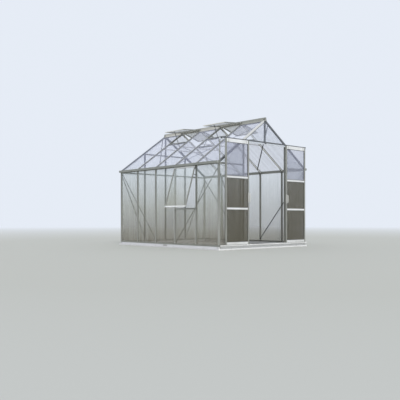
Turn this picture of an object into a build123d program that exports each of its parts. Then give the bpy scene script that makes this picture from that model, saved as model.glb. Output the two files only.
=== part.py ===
from build123d import *
import os
from math import atan, cos, degrees, hypot, pi, sin

os.makedirs("parts", exist_ok=True)

# A greenhouse of extruded aluminium bars and twin-wall sheets, in millimetres.
# X runs across the gable, Y from the door gable to the back, Z up from the ground.
# The origin is on the ground, in the middle of the door gable's outer face.

# Size of the house
gable_width = 2540.0
bay_length = 634.0
bay_count = 5
eave_height = 1648.0
ridge_height = 2544.0

# Glazing bar: outer flange, groove for the sheet, inner flange and bolt channel
bar_face = 30.0
bar_depth = 32.0
skin = 2.0
sheet = 6.0
bar_web = 6.0
inner_face = 24.0
channel_width = 18.0
channel_slot = 8.0
corner_web = 16.0
rafter_web = 12.0
rafter_groove = 19.0
sheet_end_gap = 1.0

# Base frame of folded steel, with a step at the foot, and the sill on top of it
base_height = 64.0
base_steel = 2.5
base_setback = 4.0
base_step_out = 26.0
base_step_height = 24.0
base_top_flange = 26.0
base_foot_flange = 20.0
sill_height = 27.0
sill_steel = 2.5
groove_depth = 12.0

# Gutter and eave
gutter_width = 46.0
gutter_wall = 3.0
gutter_rise = 45.0
gutter_lip = 8.0
wall_top_drop = 55.0
sheet_overhang = 8.0
end_cap = 3.0

# Ridge
ridge_web = 10.0
ridge_web_depth = 22.0
ridge_wing = 30.0
ridge_cap_width = 32.0
ridge_cap_rise = 38.0
ridge_skirt = 26.0
ridge_overhang = 12.0

# Door gable
door_post_spacing = 1220.0
header_gap = 1.0
rail_face = 30.0

# Braces and ties
strap_width = 20.0
strap = 2.0
strap_inset = 55.0
strap_chamfer = 5.0
tie_drop = 410.0
tie_width = 25.0
tie = 4.0
cleat_leg = 60.0
cleat_width = 18.0
cleat = 3.0

# Vents: a bead on the top rail turns in a hooked socket of the ridge or the eave
hinge_bead = 4.0
running_gap = 0.3
hinge_drop = 31.7
hinge_neck = 2.0
neck_root = 1.0
neck_swing_angle = 92.0
vent_clear = 9.0
vent_depth = 16.0
vent_rail = 28.0
vent_stile = 22.0
vent_side_gap = 4.0
vent_groove = 10.0

# Roof vents, one in every second bay, held open by stays
vent_reach = 505.0
left_vent_angle = 4.0
right_vent_angle = 17.5
stay_width = 14.0
stay = 3.0
stay_inset = 14.0
stay_tail = 80.0

# Side vent, hung from the eave and held open by arms
side_vent_bay = 1
side_vent_angle = 17.4
side_vent_lap = 27.0
side_sill_height = 790.0
arm_drop = 180.0

# Sliding doors
leaf_overlap = 10.0
closed_gap = 6.0
leaf_bottom = 97.0
leaf_top_drop = 22.0
leaf_depth = 21.0
leaf_front = -52.0
leaf_stile = 36.0
leaf_groove = 12.0
leaf_top_rail = 65.0
leaf_mid_rail = 35.0
leaf_bottom_rail = 45.0
leaf_rail_heights = (770.0, 1360.0)
left_leaf_stand = 113.0
right_leaf_stand = 53.0

# Track over the doors and the struts under its ends
track_inset = 10.0
track_rise = 8.0
track_height = 48.0
track_plate = 3.0
track_cover = 24.0
track_ledge = 22.0
track_lip_rise = 6.0
strut_width = 20.0
strut_depth = 8.0

# Rollers in the track, and skids in the channel below
roller_radius = 10.0
roller_flange_radius = 13.0
roller_flange = 2.0
roller_bevel = 1.0
roller_side_gap = 0.8
roller_inset = 80.0
hanger_width = 40.0
hanger = 3.0
axle_radius = 4.0
guide_top = 92.0
guide_ledge = 58.0
guide_drop = 22.0
guide_plate = 2.5
skid_length = 44.0
skid_side_gap = 6.0
skid_floor_gap = 5.5
skid_chamfer = 6.0

# Door handles
handle_height = 160.0
handle_width = 22.0
handle_reach = 40.0
handle_grip = 10.0
handle_foot = 12.0
handle_middle = 980.0

# Worked out from the sizes above
half_width = gable_width / 2
length = bay_length * bay_count
grade = (ridge_height - eave_height) / half_width
pitch = atan(grade)
slope_length = half_width / cos(pitch)
sill_top = base_height + sill_height
groove_bottom = sill_top - groove_depth
wall_top = eave_height - wall_top_drop
sheet_inner = skin + sheet
flange_inner = sheet_inner + skin
bay_lines = [bay_length * n for n in range(1, bay_count)]
vent_bays = [n for n in range(bay_count) if n % 2 == 1]
door_post_x = door_post_spacing / 2
door_side = door_post_x - bar_face / 2
margin = 80.0


def roof_z(x, depth=0.0):
    """Height of the point that lies `depth` under the roof's outer face at x."""
    return ridge_height - grade * abs(x) - depth / cos(pitch)


def roof_x(z, depth=0.0):
    """Distance from the middle at which that depth under the roof is at height z."""
    return (ridge_height - depth / cos(pitch) - z) / grade


def left_slope(y, distance):
    """Plane square to the left slope, at a distance up it; its y points inward."""
    origin = (-half_width + distance * cos(pitch), y, eave_height + distance * sin(pitch))
    return Plane(origin=origin, x_dir=(0, -1, 0), z_dir=(cos(pitch), 0, sin(pitch)))


def cross_plane(y):
    """Upright plane across the house at y, for shapes that are extruded towards -Y."""
    return Plane.XZ.offset(-y)


# Places that follow the roof, the eave, the track and the doorway
header_top = roof_z(door_side, bar_depth) - header_gap
tie_height = ridge_height - tie_drop
gutter_floor = wall_top + groove_depth
cap_top = ridge_height + ridge_cap_rise
web_bottom = roof_z(ridge_web / 2, flange_inner) - ridge_web_depth
socket_radius = hinge_bead + running_gap
roof_hinge_x = ridge_web / 2 + socket_radius
roof_hinge_z = cap_top - hinge_drop
side_hinge_x = half_width + socket_radius
side_hinge_z = gutter_floor - socket_radius
track_half_length = half_width - track_inset
track_top = header_top + track_rise
track_bottom = track_top - track_height
leaf_width = door_post_x + bar_face / 2 + leaf_overlap - closed_gap / 2
leaf_top = track_top - leaf_top_drop
leaf_back = leaf_front + leaf_depth
leaf_middle = (leaf_front + leaf_back) / 2


def hinge_socket(middle_angle):
    """Section of the hooked socket, open about that direction for the swing of the neck."""
    outer = socket_radius + skin
    first = middle_angle - neck_swing_angle / 2
    with BuildSketch() as outline:
        Circle(outer)
        Circle(socket_radius, mode=Mode.SUBTRACT)
        with BuildLine():
            mouth = PolarLine((0, 0), 2 * outer, first)
            other = PolarLine((0, 0), 2 * outer, first + neck_swing_angle)
            Line(mouth @ 1, other @ 1)
        make_face(mode=Mode.SUBTRACT)
    return outline.sketch


# Sections shared by many bars
with BuildSketch() as bar_section:
    with BuildLine():
        Polyline(
            (0, 0),
            (bar_face / 2, 0),
            (bar_face / 2, skin),
            (bar_web / 2, skin),
            (bar_web / 2, sheet_inner),
            (inner_face / 2, sheet_inner),
            (inner_face / 2, flange_inner),
            (channel_width / 2, flange_inner),
            (channel_width / 2, bar_depth),
            (channel_slot / 2, bar_depth),
            (channel_slot / 2, bar_depth - skin),
            (channel_width / 2 - skin, bar_depth - skin),
            (channel_width / 2 - skin, flange_inner),
            (0, flange_inner),
        )
        mirror(about=Plane.YZ)
    make_face()

with BuildSketch() as corner_section:
    with BuildLine():
        Polyline(
            (0, 0),
            (bar_depth, 0),
            (bar_depth, skin),
            (corner_web, skin),
            (corner_web, sheet_inner),
            (bar_depth, sheet_inner),
            (bar_depth, bar_depth),
            (sheet_inner, bar_depth),
            (sheet_inner, corner_web),
            (skin, corner_web),
            (skin, bar_depth),
            (0, bar_depth),
            close=True,
        )
    make_face()
    tube_middle = (flange_inner + skin + bar_depth - skin) / 2
    with Locations((tube_middle, tube_middle)):
        Rectangle(bar_depth - flange_inner - 2 * skin, bar_depth - flange_inner - 2 * skin, mode=Mode.SUBTRACT)

with BuildSketch() as gable_rafter_section:
    with BuildLine():
        Polyline(
            (0, 0),
            (-bar_face, 0),
            (-bar_face, skin),
            (-rafter_web, skin),
            (-rafter_web, sheet_inner),
            (-bar_face, sheet_inner),
            (-bar_face, bar_depth),
            (-bar_face + 3 * skin, bar_depth),
            (-bar_face + 3 * skin, bar_depth - skin),
            (-bar_face + skin, bar_depth - skin),
            (-bar_face + skin, flange_inner),
            (-rafter_web, flange_inner),
            (-rafter_web, bar_depth - skin),
            (-rafter_web - 2 * skin, bar_depth - skin),
            (-rafter_web - 2 * skin, bar_depth),
            (-sheet_inner, bar_depth),
            (-sheet_inner, rafter_groove),
            (-skin, rafter_groove),
            (-skin, bar_depth),
            (0, bar_depth),
            close=True,
        )
    make_face()

# What the rafters may fill on the left slope: over the eave web and the ridge wing,
# and between them below the sheets.
eave_web_x = half_width - flange_inner
with BuildSketch() as left_rafter_room:
    with BuildLine():
        Polyline(
            (-ridge_web / 2, ridge_height + margin),
            (-half_width - sheet_overhang, ridge_height + margin),
            (-half_width - sheet_overhang, roof_z(half_width + sheet_overhang, sheet_inner)),
            (-eave_web_x, roof_z(eave_web_x, sheet_inner)),
            (-eave_web_x, roof_z(eave_web_x, bar_depth) - margin),
            (-ridge_wing, roof_z(eave_web_x, bar_depth) - margin),
            (-ridge_wing, roof_z(ridge_wing, sheet_inner)),
            (-ridge_web / 2, roof_z(ridge_web / 2, sheet_inner)),
            close=True,
        )
    make_face()

# Plan of the ground frame's side and end rails, mitred at the corners
plan_out = base_step_out + margin
plan_in = half_width / 2
with BuildSketch() as side_mitre:
    with BuildLine():
        Polyline(
            (-half_width - plan_out, -plan_out),
            (-half_width + plan_in, plan_in),
            (-half_width + plan_in, length - plan_in),
            (-half_width - plan_out, length + plan_out),
            close=True,
        )
    make_face()
with BuildSketch() as end_mitre:
    with BuildLine():
        Polyline(
            (-half_width - plan_out, -plan_out),
            (half_width + plan_out, -plan_out),
            (half_width - plan_in, plan_in),
            (-half_width + plan_in, plan_in),
            close=True,
        )
    make_face()

base_outline = [
    (base_setback, base_height),
    (base_setback, base_step_height),
    (-base_step_out, base_step_height),
    (-base_step_out, 0),
    (base_foot_flange, 0),
    (base_foot_flange, base_steel),
    (-base_step_out + base_steel, base_steel),
    (-base_step_out + base_steel, base_step_height - base_steel),
    (base_setback + base_steel, base_step_height - base_steel),
    (base_setback + base_steel, base_height - base_steel),
    (base_setback + base_top_flange, base_height - base_steel),
    (base_setback + base_top_flange, base_height),
]
sill_outline = [
    (0, base_height),
    (0, sill_top),
    (skin, sill_top),
    (skin, groove_bottom),
    (sheet_inner, groove_bottom),
    (sheet_inner, sill_top),
    (bar_depth, sill_top),
    (bar_depth, sill_top - sill_steel),
    (flange_inner, sill_top - sill_steel),
    (flange_inner, groove_bottom - sill_steel),
    (sill_steel, groove_bottom - sill_steel),
    (sill_steel, base_height + sill_steel),
    (bar_depth, base_height + sill_steel),
    (bar_depth, base_height),
]
middle_plane = Plane.XZ.offset(-length / 2)


# Base rails: folded steel, mitred where they meet
with BuildPart() as side_base_rails:
    with BuildSketch(cross_plane(length + margin)):
        with Locations((-half_width, 0)):
            Polygon(*base_outline, align=None)
    extrude(amount=length + 2 * margin)
    with BuildSketch(Plane.XY):
        add(side_mitre.sketch)
    extrude(amount=base_height, mode=Mode.INTERSECT)
    mirror(about=Plane.YZ)
side_base_rails.part.label = "side_base_rails"
export_step(side_base_rails.part, "parts/side_base_rails.step")

with BuildPart() as end_base_rails:
    with BuildSketch(Plane.YZ.offset(-half_width - margin)):
        Polygon(*base_outline, align=None)
    extrude(amount=gable_width + 2 * margin)
    with BuildSketch(Plane.XY):
        add(end_mitre.sketch)
    extrude(amount=base_height, mode=Mode.INTERSECT)
    mirror(about=middle_plane)
end_base_rails.part.label = "end_base_rails"
export_step(end_base_rails.part, "parts/end_base_rails.step")


# Sills: the bottom bars that hold the sheets, mitred like the base
with BuildPart() as side_sills:
    with BuildSketch(cross_plane(length + margin)):
        with Locations((-half_width, 0)):
            Polygon(*sill_outline, align=None)
    extrude(amount=length + 2 * margin)
    with BuildSketch(Plane.XY.offset(base_height)):
        add(side_mitre.sketch)
    extrude(amount=sill_height, mode=Mode.INTERSECT)
    mirror(about=Plane.YZ)
side_sills.part.label = "side_sills"
export_step(side_sills.part, "parts/side_sills.step")

with BuildPart() as end_sills:
    with BuildSketch(Plane.YZ.offset(-half_width - margin)):
        Polygon(*sill_outline, align=None)
    extrude(amount=gable_width + 2 * margin)
    with BuildSketch(Plane.XY.offset(base_height)):
        add(end_mitre.sketch)
    extrude(amount=sill_height, mode=Mode.INTERSECT)
    mirror(about=middle_plane)
end_sills.part.label = "end_sills"
export_step(end_sills.part, "parts/end_sills.step")


# Corner posts, with a groove for each of the two walls they join
with BuildPart() as corner_posts:
    with BuildSketch(Plane.XY.offset(sill_top)):
        with Locations((-half_width, 0)):
            add(corner_section.sketch)
    extrude(amount=wall_top - sill_top)
    mirror(about=Plane.YZ)
    mirror(about=middle_plane)
corner_posts.part.label = "corner_posts"
export_step(corner_posts.part, "parts/corner_posts.step")


# Upright glazing bars of the two side walls
with BuildPart() as wall_bars:
    for y in bay_lines:
        bar_plane = Plane(origin=(-half_width, y, sill_top), x_dir=(0, -1, 0), z_dir=(0, 0, 1))
        with BuildSketch(bar_plane):
            add(bar_section.sketch)
        extrude(amount=wall_top - sill_top)
    mirror(about=Plane.YZ)
wall_bars.part.label = "wall_bars"
export_step(wall_bars.part, "parts/wall_bars.step")


# Eave beams: gutter outside, groove for the wall sheets and hinge socket below, roof seat above
gutter_outline = [
    (-gutter_width, gutter_floor + gutter_rise),
    (-gutter_width + gutter_lip, gutter_floor + gutter_rise),
    (-gutter_width + gutter_lip, gutter_floor + gutter_rise - skin),
    (-gutter_width + skin, gutter_floor + gutter_rise - skin),
    (-gutter_width + skin, gutter_floor + gutter_wall),
    (flange_inner - gutter_wall, gutter_floor + gutter_wall),
    (flange_inner - gutter_wall, roof_z(eave_web_x + gutter_wall, sheet_inner)),
    (flange_inner, roof_z(eave_web_x, sheet_inner)),
    (flange_inner, wall_top),
    (sheet_inner, wall_top),
    (sheet_inner, gutter_floor),
    (skin, gutter_floor),
    (skin, wall_top),
    (0, wall_top),
    (0, gutter_floor),
    (-gutter_width, gutter_floor),
]
eave_mouth_angle = 244.0
with BuildPart() as left_gutter:
    with BuildSketch(cross_plane(length)):
        with Locations((-half_width, 0)):
            Polygon(*gutter_outline, align=None)
        with Locations((-side_hinge_x, side_hinge_z)):
            add(hinge_socket(eave_mouth_angle))
    extrude(amount=length)
left_gutter.part.label = "left_gutter"
export_step(left_gutter.part, "parts/left_gutter.step")

with BuildPart() as right_gutter:
    mirror(left_gutter.part, about=Plane.YZ)
right_gutter.part.label = "right_gutter"
export_step(right_gutter.part, "parts/right_gutter.step")

with BuildPart() as gutter_end_caps:
    with BuildSketch(cross_plane(0)):
        with Locations((-half_width - gutter_width / 2, gutter_floor + gutter_rise / 2)):
            plate = Rectangle(gutter_width, gutter_rise)
        chamfer(plate.vertices(), skin)
    extrude(amount=end_cap)
    mirror(about=Plane.YZ)
    mirror(about=middle_plane)
gutter_end_caps.part.label = "gutter_end_caps"
export_step(gutter_end_caps.part, "parts/gutter_end_caps.step")


# Ridge beam: web, wings under the sheets, hinge sockets and cap
ridge_mouth_angle = -9.0
with BuildPart() as ridge_beam:
    with BuildSketch(cross_plane(length + ridge_overhang)):
        with BuildLine():
            Polyline(
                (0, web_bottom),
                (ridge_web / 2, web_bottom),
                (ridge_web / 2, roof_z(ridge_web / 2, flange_inner)),
                (ridge_wing, roof_z(ridge_wing, flange_inner)),
                (ridge_wing, roof_z(ridge_wing, sheet_inner)),
                (ridge_web / 2, roof_z(ridge_web / 2, sheet_inner)),
                (ridge_web / 2, cap_top - gutter_wall),
                (ridge_cap_width / 2 - skin, cap_top - gutter_wall),
                (ridge_cap_width / 2 - skin, cap_top - ridge_skirt),
                (ridge_cap_width / 2, cap_top - ridge_skirt),
                (ridge_cap_width / 2, cap_top),
                (0, cap_top),
            )
            mirror(about=Plane.YZ)
        make_face()
        with Locations((roof_hinge_x, roof_hinge_z)):
            add(hinge_socket(ridge_mouth_angle))
        with Locations((-roof_hinge_x, roof_hinge_z)):
            add(hinge_socket(180 - ridge_mouth_angle))
    extrude(amount=length + 2 * ridge_overhang)
ridge_beam.part.label = "ridge_beam"
export_step(ridge_beam.part, "parts/ridge_beam.step")

# Moulded plates that close the two ends of the ridge beam
with BuildPart() as ridge_end_caps:
    with BuildSketch(cross_plane(-ridge_overhang)):
        with BuildLine():
            Polyline(
                (0, web_bottom),
                (ridge_web / 2, web_bottom),
                (ridge_wing, roof_z(ridge_wing, flange_inner)),
                (ridge_wing, roof_z(ridge_wing, sheet_inner)),
                (ridge_cap_width / 2, cap_top - ridge_skirt),
                (ridge_cap_width / 2, cap_top),
                (0, cap_top),
            )
            mirror(about=Plane.YZ)
        make_face()
    extrude(amount=end_cap)
    mirror(about=middle_plane)
ridge_end_caps.part.label = "ridge_end_caps"
export_step(ridge_end_caps.part, "parts/ridge_end_caps.step")


# Rafters over the bays, and the four gable rafters with a second groove for the gable
with BuildPart() as rafters:
    for y in bay_lines:
        with BuildSketch(left_slope(y, -margin)):
            add(bar_section.sketch)
        extrude(amount=slope_length + 2 * margin)
    with BuildSketch(cross_plane(length)):
        add(left_rafter_room.sketch)
    extrude(amount=length, mode=Mode.INTERSECT)
    mirror(about=Plane.YZ)
rafters.part.label = "rafters"
export_step(rafters.part, "parts/rafters.step")

with BuildPart() as gable_rafters:
    with BuildSketch(left_slope(0, -margin)):
        add(gable_rafter_section.sketch)
    extrude(amount=slope_length + 2 * margin)
    with BuildSketch(cross_plane(bay_length)):
        add(left_rafter_room.sketch)
    extrude(amount=bay_length, mode=Mode.INTERSECT)
    mirror(about=Plane.YZ)
    mirror(about=middle_plane)
gable_rafters.part.label = "gable_rafters"
export_step(gable_rafters.part, "parts/gable_rafters.step")


def under_roof_points(bottom, edge):
    """Outline of all that lies below the rafters and the ridge web, out to that edge."""
    return [
        (-edge, bottom),
        (edge, bottom),
        (edge, roof_z(edge, bar_depth)),
        (ridge_wing, roof_z(ridge_wing, bar_depth)),
        (ridge_wing, web_bottom),
        (-ridge_wing, web_bottom),
        (-ridge_wing, roof_z(ridge_wing, bar_depth)),
        (-edge, roof_z(edge, bar_depth)),
    ]


# Posts of the gables: door posts in front, three posts behind, cut to the roof
with BuildPart() as door_posts:
    for x in (-door_post_x, door_post_x):
        with BuildSketch(Plane(origin=(x, 0, sill_top), x_dir=(1, 0, 0), z_dir=(0, 0, 1))):
            add(bar_section.sketch)
        extrude(amount=ridge_height - sill_top)
    with BuildSketch(cross_plane(bar_depth)):
        Polygon(*under_roof_points(sill_top, half_width - bar_depth), align=None)
    extrude(amount=bar_depth, mode=Mode.INTERSECT)
door_posts.part.label = "door_posts"
export_step(door_posts.part, "parts/door_posts.step")

with BuildPart() as back_posts:
    for x in (-door_post_x, 0, door_post_x):
        with BuildSketch(Plane(origin=(x, length, sill_top), x_dir=(-1, 0, 0), z_dir=(0, 0, 1))):
            add(bar_section.sketch)
        extrude(amount=ridge_height - sill_top)
    with BuildSketch(cross_plane(length)):
        Polygon(*under_roof_points(sill_top, half_width - bar_depth), align=None)
    extrude(amount=bar_depth, mode=Mode.INTERSECT)
back_posts.part.label = "back_posts"
export_step(back_posts.part, "parts/back_posts.step")

with BuildPart() as front_ridge_post:
    with BuildSketch(Plane(origin=(0, 0, header_top), x_dir=(1, 0, 0), z_dir=(0, 0, 1))):
        add(bar_section.sketch)
    extrude(amount=web_bottom - header_top)
front_ridge_post.part.label = "front_ridge_post"
export_step(front_ridge_post.part, "parts/front_ridge_post.step")


# Level rails of the gables, at the eave and over the door, between the posts' flanges
header_middle = header_top - rail_face / 2
gable_rail_middle = wall_top + rail_face / 2


def level_rail_plane(x, height):
    """Plane square to X for a front gable rail; its y points inward."""
    return Plane(origin=(x, 0, height), x_dir=(0, 0, -1), z_dir=(1, 0, 0))


with BuildPart() as door_header:
    with BuildSketch(level_rail_plane(-door_side, header_middle)):
        add(bar_section.sketch)
    extrude(amount=2 * door_side)
door_header.part.label = "door_header"
export_step(door_header.part, "parts/door_header.step")

with BuildPart() as gable_rails:
    with BuildSketch(level_rail_plane(-eave_web_x, gable_rail_middle)):
        add(bar_section.sketch)
    extrude(amount=eave_web_x - door_post_x - bar_face / 2)
    with BuildSketch(cross_plane(bar_depth)):
        Polygon(*under_roof_points(wall_top, eave_web_x), align=None)
    extrude(amount=bar_depth, mode=Mode.INTERSECT)
    mirror(about=Plane.YZ)
    mirror(about=middle_plane)
gable_rails.part.label = "gable_rails"
export_step(gable_rails.part, "parts/gable_rails.step")

with BuildPart() as back_rails:
    for height in (gable_rail_middle, header_middle):
        with BuildSketch(level_rail_plane(-door_side, height)):
            add(bar_section.sketch)
        extrude(amount=door_side - bar_face / 2)
    mirror(about=Plane.YZ)
    mirror(about=middle_plane)
    with BuildSketch(cross_plane(length)):
        Rectangle(gable_width, 2 * ridge_height)
    extrude(amount=bar_depth, mode=Mode.INTERSECT)
back_rails.part.label = "back_rails"
export_step(back_rails.part, "parts/back_rails.step")


# Flat steel braces on the inner faces of the bars
def strap_between(start, end):
    """A strap with clipped corners, past the bolt at each end by half its width, in a sketch."""
    (u1, v1), (u2, v2) = start, end
    run = hypot(u2 - u1, v2 - v1)
    turn = degrees(atan((v2 - v1) / (u2 - u1)))
    with BuildSketch() as outline:
        with Locations(Location(((u1 + u2) / 2, (v1 + v2) / 2, 0), (0, 0, turn))):
            flat = Rectangle(run + strap_width, strap_width)
        chamfer(flat.vertices(), strap_chamfer)
    return outline.sketch


corner_middle = (flange_inner + bar_depth) / 2
with BuildPart() as wall_braces:
    with BuildSketch(Plane.YZ.offset(-half_width + bar_depth)):
        foot = (2 * bay_length, sill_top + strap_width)
        add(strap_between((corner_middle, wall_top - strap_width), foot))
    extrude(amount=strap)
    mirror(about=middle_plane)
    mirror(about=Plane.YZ)
wall_braces.part.label = "wall_braces"
export_step(wall_braces.part, "parts/wall_braces.step")

with BuildPart() as gable_braces:
    with BuildSketch(cross_plane(bar_depth)):
        head = (-half_width + corner_middle, wall_top - strap_width - strap_inset)
        add(strap_between(head, (-door_post_x, sill_top + strap_width)))
    extrude(amount=-strap)
    mirror(about=Plane.YZ)
    mirror(about=middle_plane)
gable_braces.part.label = "gable_braces"
export_step(gable_braces.part, "parts/gable_braces.step")

inner_apex = (bar_depth * sin(pitch), 0, ridge_height - bar_depth * cos(pitch))
left_inner_slope = Plane(origin=inner_apex, x_dir=(0, 1, 0), z_dir=(sin(pitch), 0, -cos(pitch)))
with BuildPart() as roof_braces:
    with BuildSketch(left_inner_slope):
        brace_head = ((rafter_web + bar_face) / 2, -bar_depth - 2 * strap_inset)
        brace_foot = (2 * bay_length, -slope_length + strap_inset + cleat_leg)
        add(strap_between(brace_head, brace_foot))
    extrude(amount=strap)
    mirror(about=middle_plane)
    mirror(about=Plane.YZ)
roof_braces.part.label = "roof_braces"
export_step(roof_braces.part, "parts/roof_braces.step")

# Level ties between the two rafters of each bay line
with BuildPart() as collar_ties:
    for y in bay_lines:
        with BuildSketch(cross_plane(y + channel_slot / 2 + tie)):
            low_x = roof_x(tie_height - tie_width / 2, bar_depth)
            high_x = roof_x(tie_height + tie_width / 2, bar_depth)
            low_z = tie_height - tie_width / 2
            high_z = tie_height + tie_width / 2
            Polygon((-low_x, low_z), (low_x, low_z), (high_x, high_z), (-high_x, high_z), align=None)
        extrude(amount=tie)
collar_ties.part.label = "collar_ties"
export_step(collar_ties.part, "parts/collar_ties.step")

# Bent plates that tie the bars to the rafters at the eave, and the rafters to each other at the
# ridge. Both lie on the bars' inner faces.
eave_bend_x = half_width - bar_depth
eave_inner_x = eave_bend_x - cleat
with BuildPart() as eave_cleats:
    for y in bay_lines:
        with BuildSketch(cross_plane(y + cleat_width / 2)):
            head_x = eave_bend_x - cleat_leg * cos(pitch)
            Polygon(
                (-eave_bend_x, wall_top - cleat_leg),
                (-eave_bend_x, roof_z(eave_bend_x, bar_depth)),
                (-head_x, roof_z(head_x, bar_depth)),
                (-head_x, roof_z(head_x, bar_depth + cleat)),
                (-eave_inner_x, roof_z(eave_inner_x, bar_depth + cleat)),
                (-eave_inner_x, wall_top - cleat_leg),
                align=None,
            )
        extrude(amount=cleat_width)
    mirror(about=Plane.YZ)
eave_cleats.part.label = "eave_cleats"
export_step(eave_cleats.part, "parts/eave_cleats.step")

with BuildPart() as ridge_cleats:
    for y in bay_lines:
        with BuildSketch(cross_plane(y + cleat_width / 2)):
            foot_x = ridge_wing + cleat_leg * cos(pitch)
            Polygon(
                (-foot_x, roof_z(foot_x, bar_depth)),
                (0, roof_z(0, bar_depth)),
                (foot_x, roof_z(foot_x, bar_depth)),
                (foot_x, roof_z(foot_x, bar_depth + cleat)),
                (0, roof_z(0, bar_depth + cleat)),
                (-foot_x, roof_z(foot_x, bar_depth + cleat)),
                align=None,
            )
        extrude(amount=cleat_width)
ridge_cleats.part.label = "ridge_cleats"
export_step(ridge_cleats.part, "parts/ridge_cleats.step")


# Sheets of the side walls, from groove to groove
sheet_side_gap = bar_web / 2 + sheet_end_gap
corner_edge = corner_web + sheet_end_gap
sheet_bottom = groove_bottom
sheet_top = gutter_floor - sheet_end_gap
side_sill_middle = side_sill_height - rail_face / 2


def bay_span(bay, first_edge):
    """Where the sheet of a bay starts and ends along the house."""
    start = first_edge if bay == 0 else bay * bay_length + sheet_side_gap
    last = length - first_edge
    end = last if bay == bay_count - 1 else (bay + 1) * bay_length - sheet_side_gap
    return start, end


with BuildPart() as left_wall_sheets:
    with BuildSketch(Plane.YZ.offset(-half_width + skin)):
        for bay in range(bay_count):
            start, end = bay_span(bay, corner_edge)
            top = side_sill_middle - sheet_side_gap if bay == side_vent_bay else sheet_top
            with Locations(((start + end) / 2, (sheet_bottom + top) / 2)):
                Rectangle(end - start, top - sheet_bottom)
    extrude(amount=sheet)
left_wall_sheets.part.label = "left_wall_sheets"
export_step(left_wall_sheets.part, "parts/left_wall_sheets.step")

with BuildPart() as right_wall_sheets:
    with BuildSketch(Plane.YZ.offset(half_width - sheet_inner)):
        for bay in range(bay_count):
            start, end = bay_span(bay, corner_edge)
            with Locations(((start + end) / 2, (sheet_bottom + sheet_top) / 2)):
                Rectangle(end - start, sheet_top - sheet_bottom)
    extrude(amount=sheet)
right_wall_sheets.part.label = "right_wall_sheets"
export_step(right_wall_sheets.part, "parts/right_wall_sheets.step")


# Sheets of the gables, cut to the slope of the rafters
gable_sheet_depth = rafter_groove + sheet_end_gap
peak_z = web_bottom - sheet_end_gap
peak_x = roof_x(peak_z, gable_sheet_depth)
rail_low = gable_rail_middle - sheet_side_gap
rail_high = gable_rail_middle + sheet_side_gap
header_low = header_middle - sheet_side_gap
header_high = header_middle + sheet_side_gap
post_near = door_post_x - sheet_side_gap
post_far = door_post_x + sheet_side_gap
outer_edge = half_width - corner_edge
top_edge = door_side - sheet_end_gap
lower_side = [
    (-outer_edge, sheet_bottom),
    (-post_far, sheet_bottom),
    (-post_far, rail_low),
    (-outer_edge, rail_low),
]
upper_side = [
    (-outer_edge, rail_high),
    (-post_far, rail_high),
    (-post_far, roof_z(post_far, gable_sheet_depth)),
    (-outer_edge, roof_z(outer_edge, gable_sheet_depth)),
]
peak_half = [
    (-top_edge, header_high),
    (-sheet_side_gap, header_high),
    (-sheet_side_gap, peak_z),
    (-peak_x, peak_z),
    (-top_edge, roof_z(top_edge, gable_sheet_depth)),
]
lower_middle = [
    (-post_near, sheet_bottom),
    (-sheet_side_gap, sheet_bottom),
    (-sheet_side_gap, rail_low),
    (-post_near, rail_low),
]
upper_middle = [
    (-post_near, rail_high),
    (-sheet_side_gap, rail_high),
    (-sheet_side_gap, header_low),
    (-post_near, header_low),
]

with BuildPart() as front_gable_sheets:
    with BuildSketch(cross_plane(sheet_inner)):
        for outline in (lower_side, upper_side, peak_half):
            Polygon(*outline, align=None)
    extrude(amount=sheet)
    mirror(about=Plane.YZ)
front_gable_sheets.part.label = "front_gable_sheets"
export_step(front_gable_sheets.part, "parts/front_gable_sheets.step")

with BuildPart() as back_gable_sheets:
    with BuildSketch(cross_plane(length - skin)):
        for outline in (lower_side, upper_side, peak_half, lower_middle, upper_middle):
            Polygon(*outline, align=None)
    extrude(amount=sheet)
    mirror(about=Plane.YZ)
back_gable_sheets.part.label = "back_gable_sheets"
export_step(back_gable_sheets.part, "parts/back_gable_sheets.step")


# Roof sheets: whole bays from ridge to gutter, and short ones below the vents
def left_slope_point(distance, depth):
    """Point down the left slope from the ridge, and that deep under its outer face."""
    x = -distance * cos(pitch) + depth * sin(pitch)
    return x, ridge_height - distance * sin(pitch) - depth * cos(pitch)


sheet_head_x = ridge_web / 2 + sheet_end_gap
sheet_foot_x = half_width + sheet_overhang
whole_bay = [
    (-sheet_head_x, roof_z(sheet_head_x, skin)),
    (-sheet_head_x, roof_z(sheet_head_x, sheet_inner)),
    (-sheet_foot_x, roof_z(sheet_foot_x, sheet_inner)),
    (-sheet_foot_x, roof_z(sheet_foot_x, skin)),
]
below_vent = [
    left_slope_point(vent_reach + sheet_side_gap, skin),
    left_slope_point(vent_reach + sheet_side_gap, sheet_inner),
    (-sheet_foot_x, roof_z(sheet_foot_x, sheet_inner)),
    (-sheet_foot_x, roof_z(sheet_foot_x, skin)),
]
roof_edge = rafter_web + sheet_end_gap
with BuildPart() as left_roof_sheets:
    for bay in range(bay_count):
        start, end = bay_span(bay, roof_edge)
        with BuildSketch(cross_plane(end)):
            Polygon(*(below_vent if bay in vent_bays else whole_bay), align=None)
        extrude(amount=end - start)
left_roof_sheets.part.label = "left_roof_sheets"
export_step(left_roof_sheets.part, "parts/left_roof_sheets.step")

with BuildPart() as right_roof_sheets:
    mirror(left_roof_sheets.part, about=Plane.YZ)
right_roof_sheets.part.label = "right_roof_sheets"
export_step(right_roof_sheets.part, "parts/right_roof_sheets.step")


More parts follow.
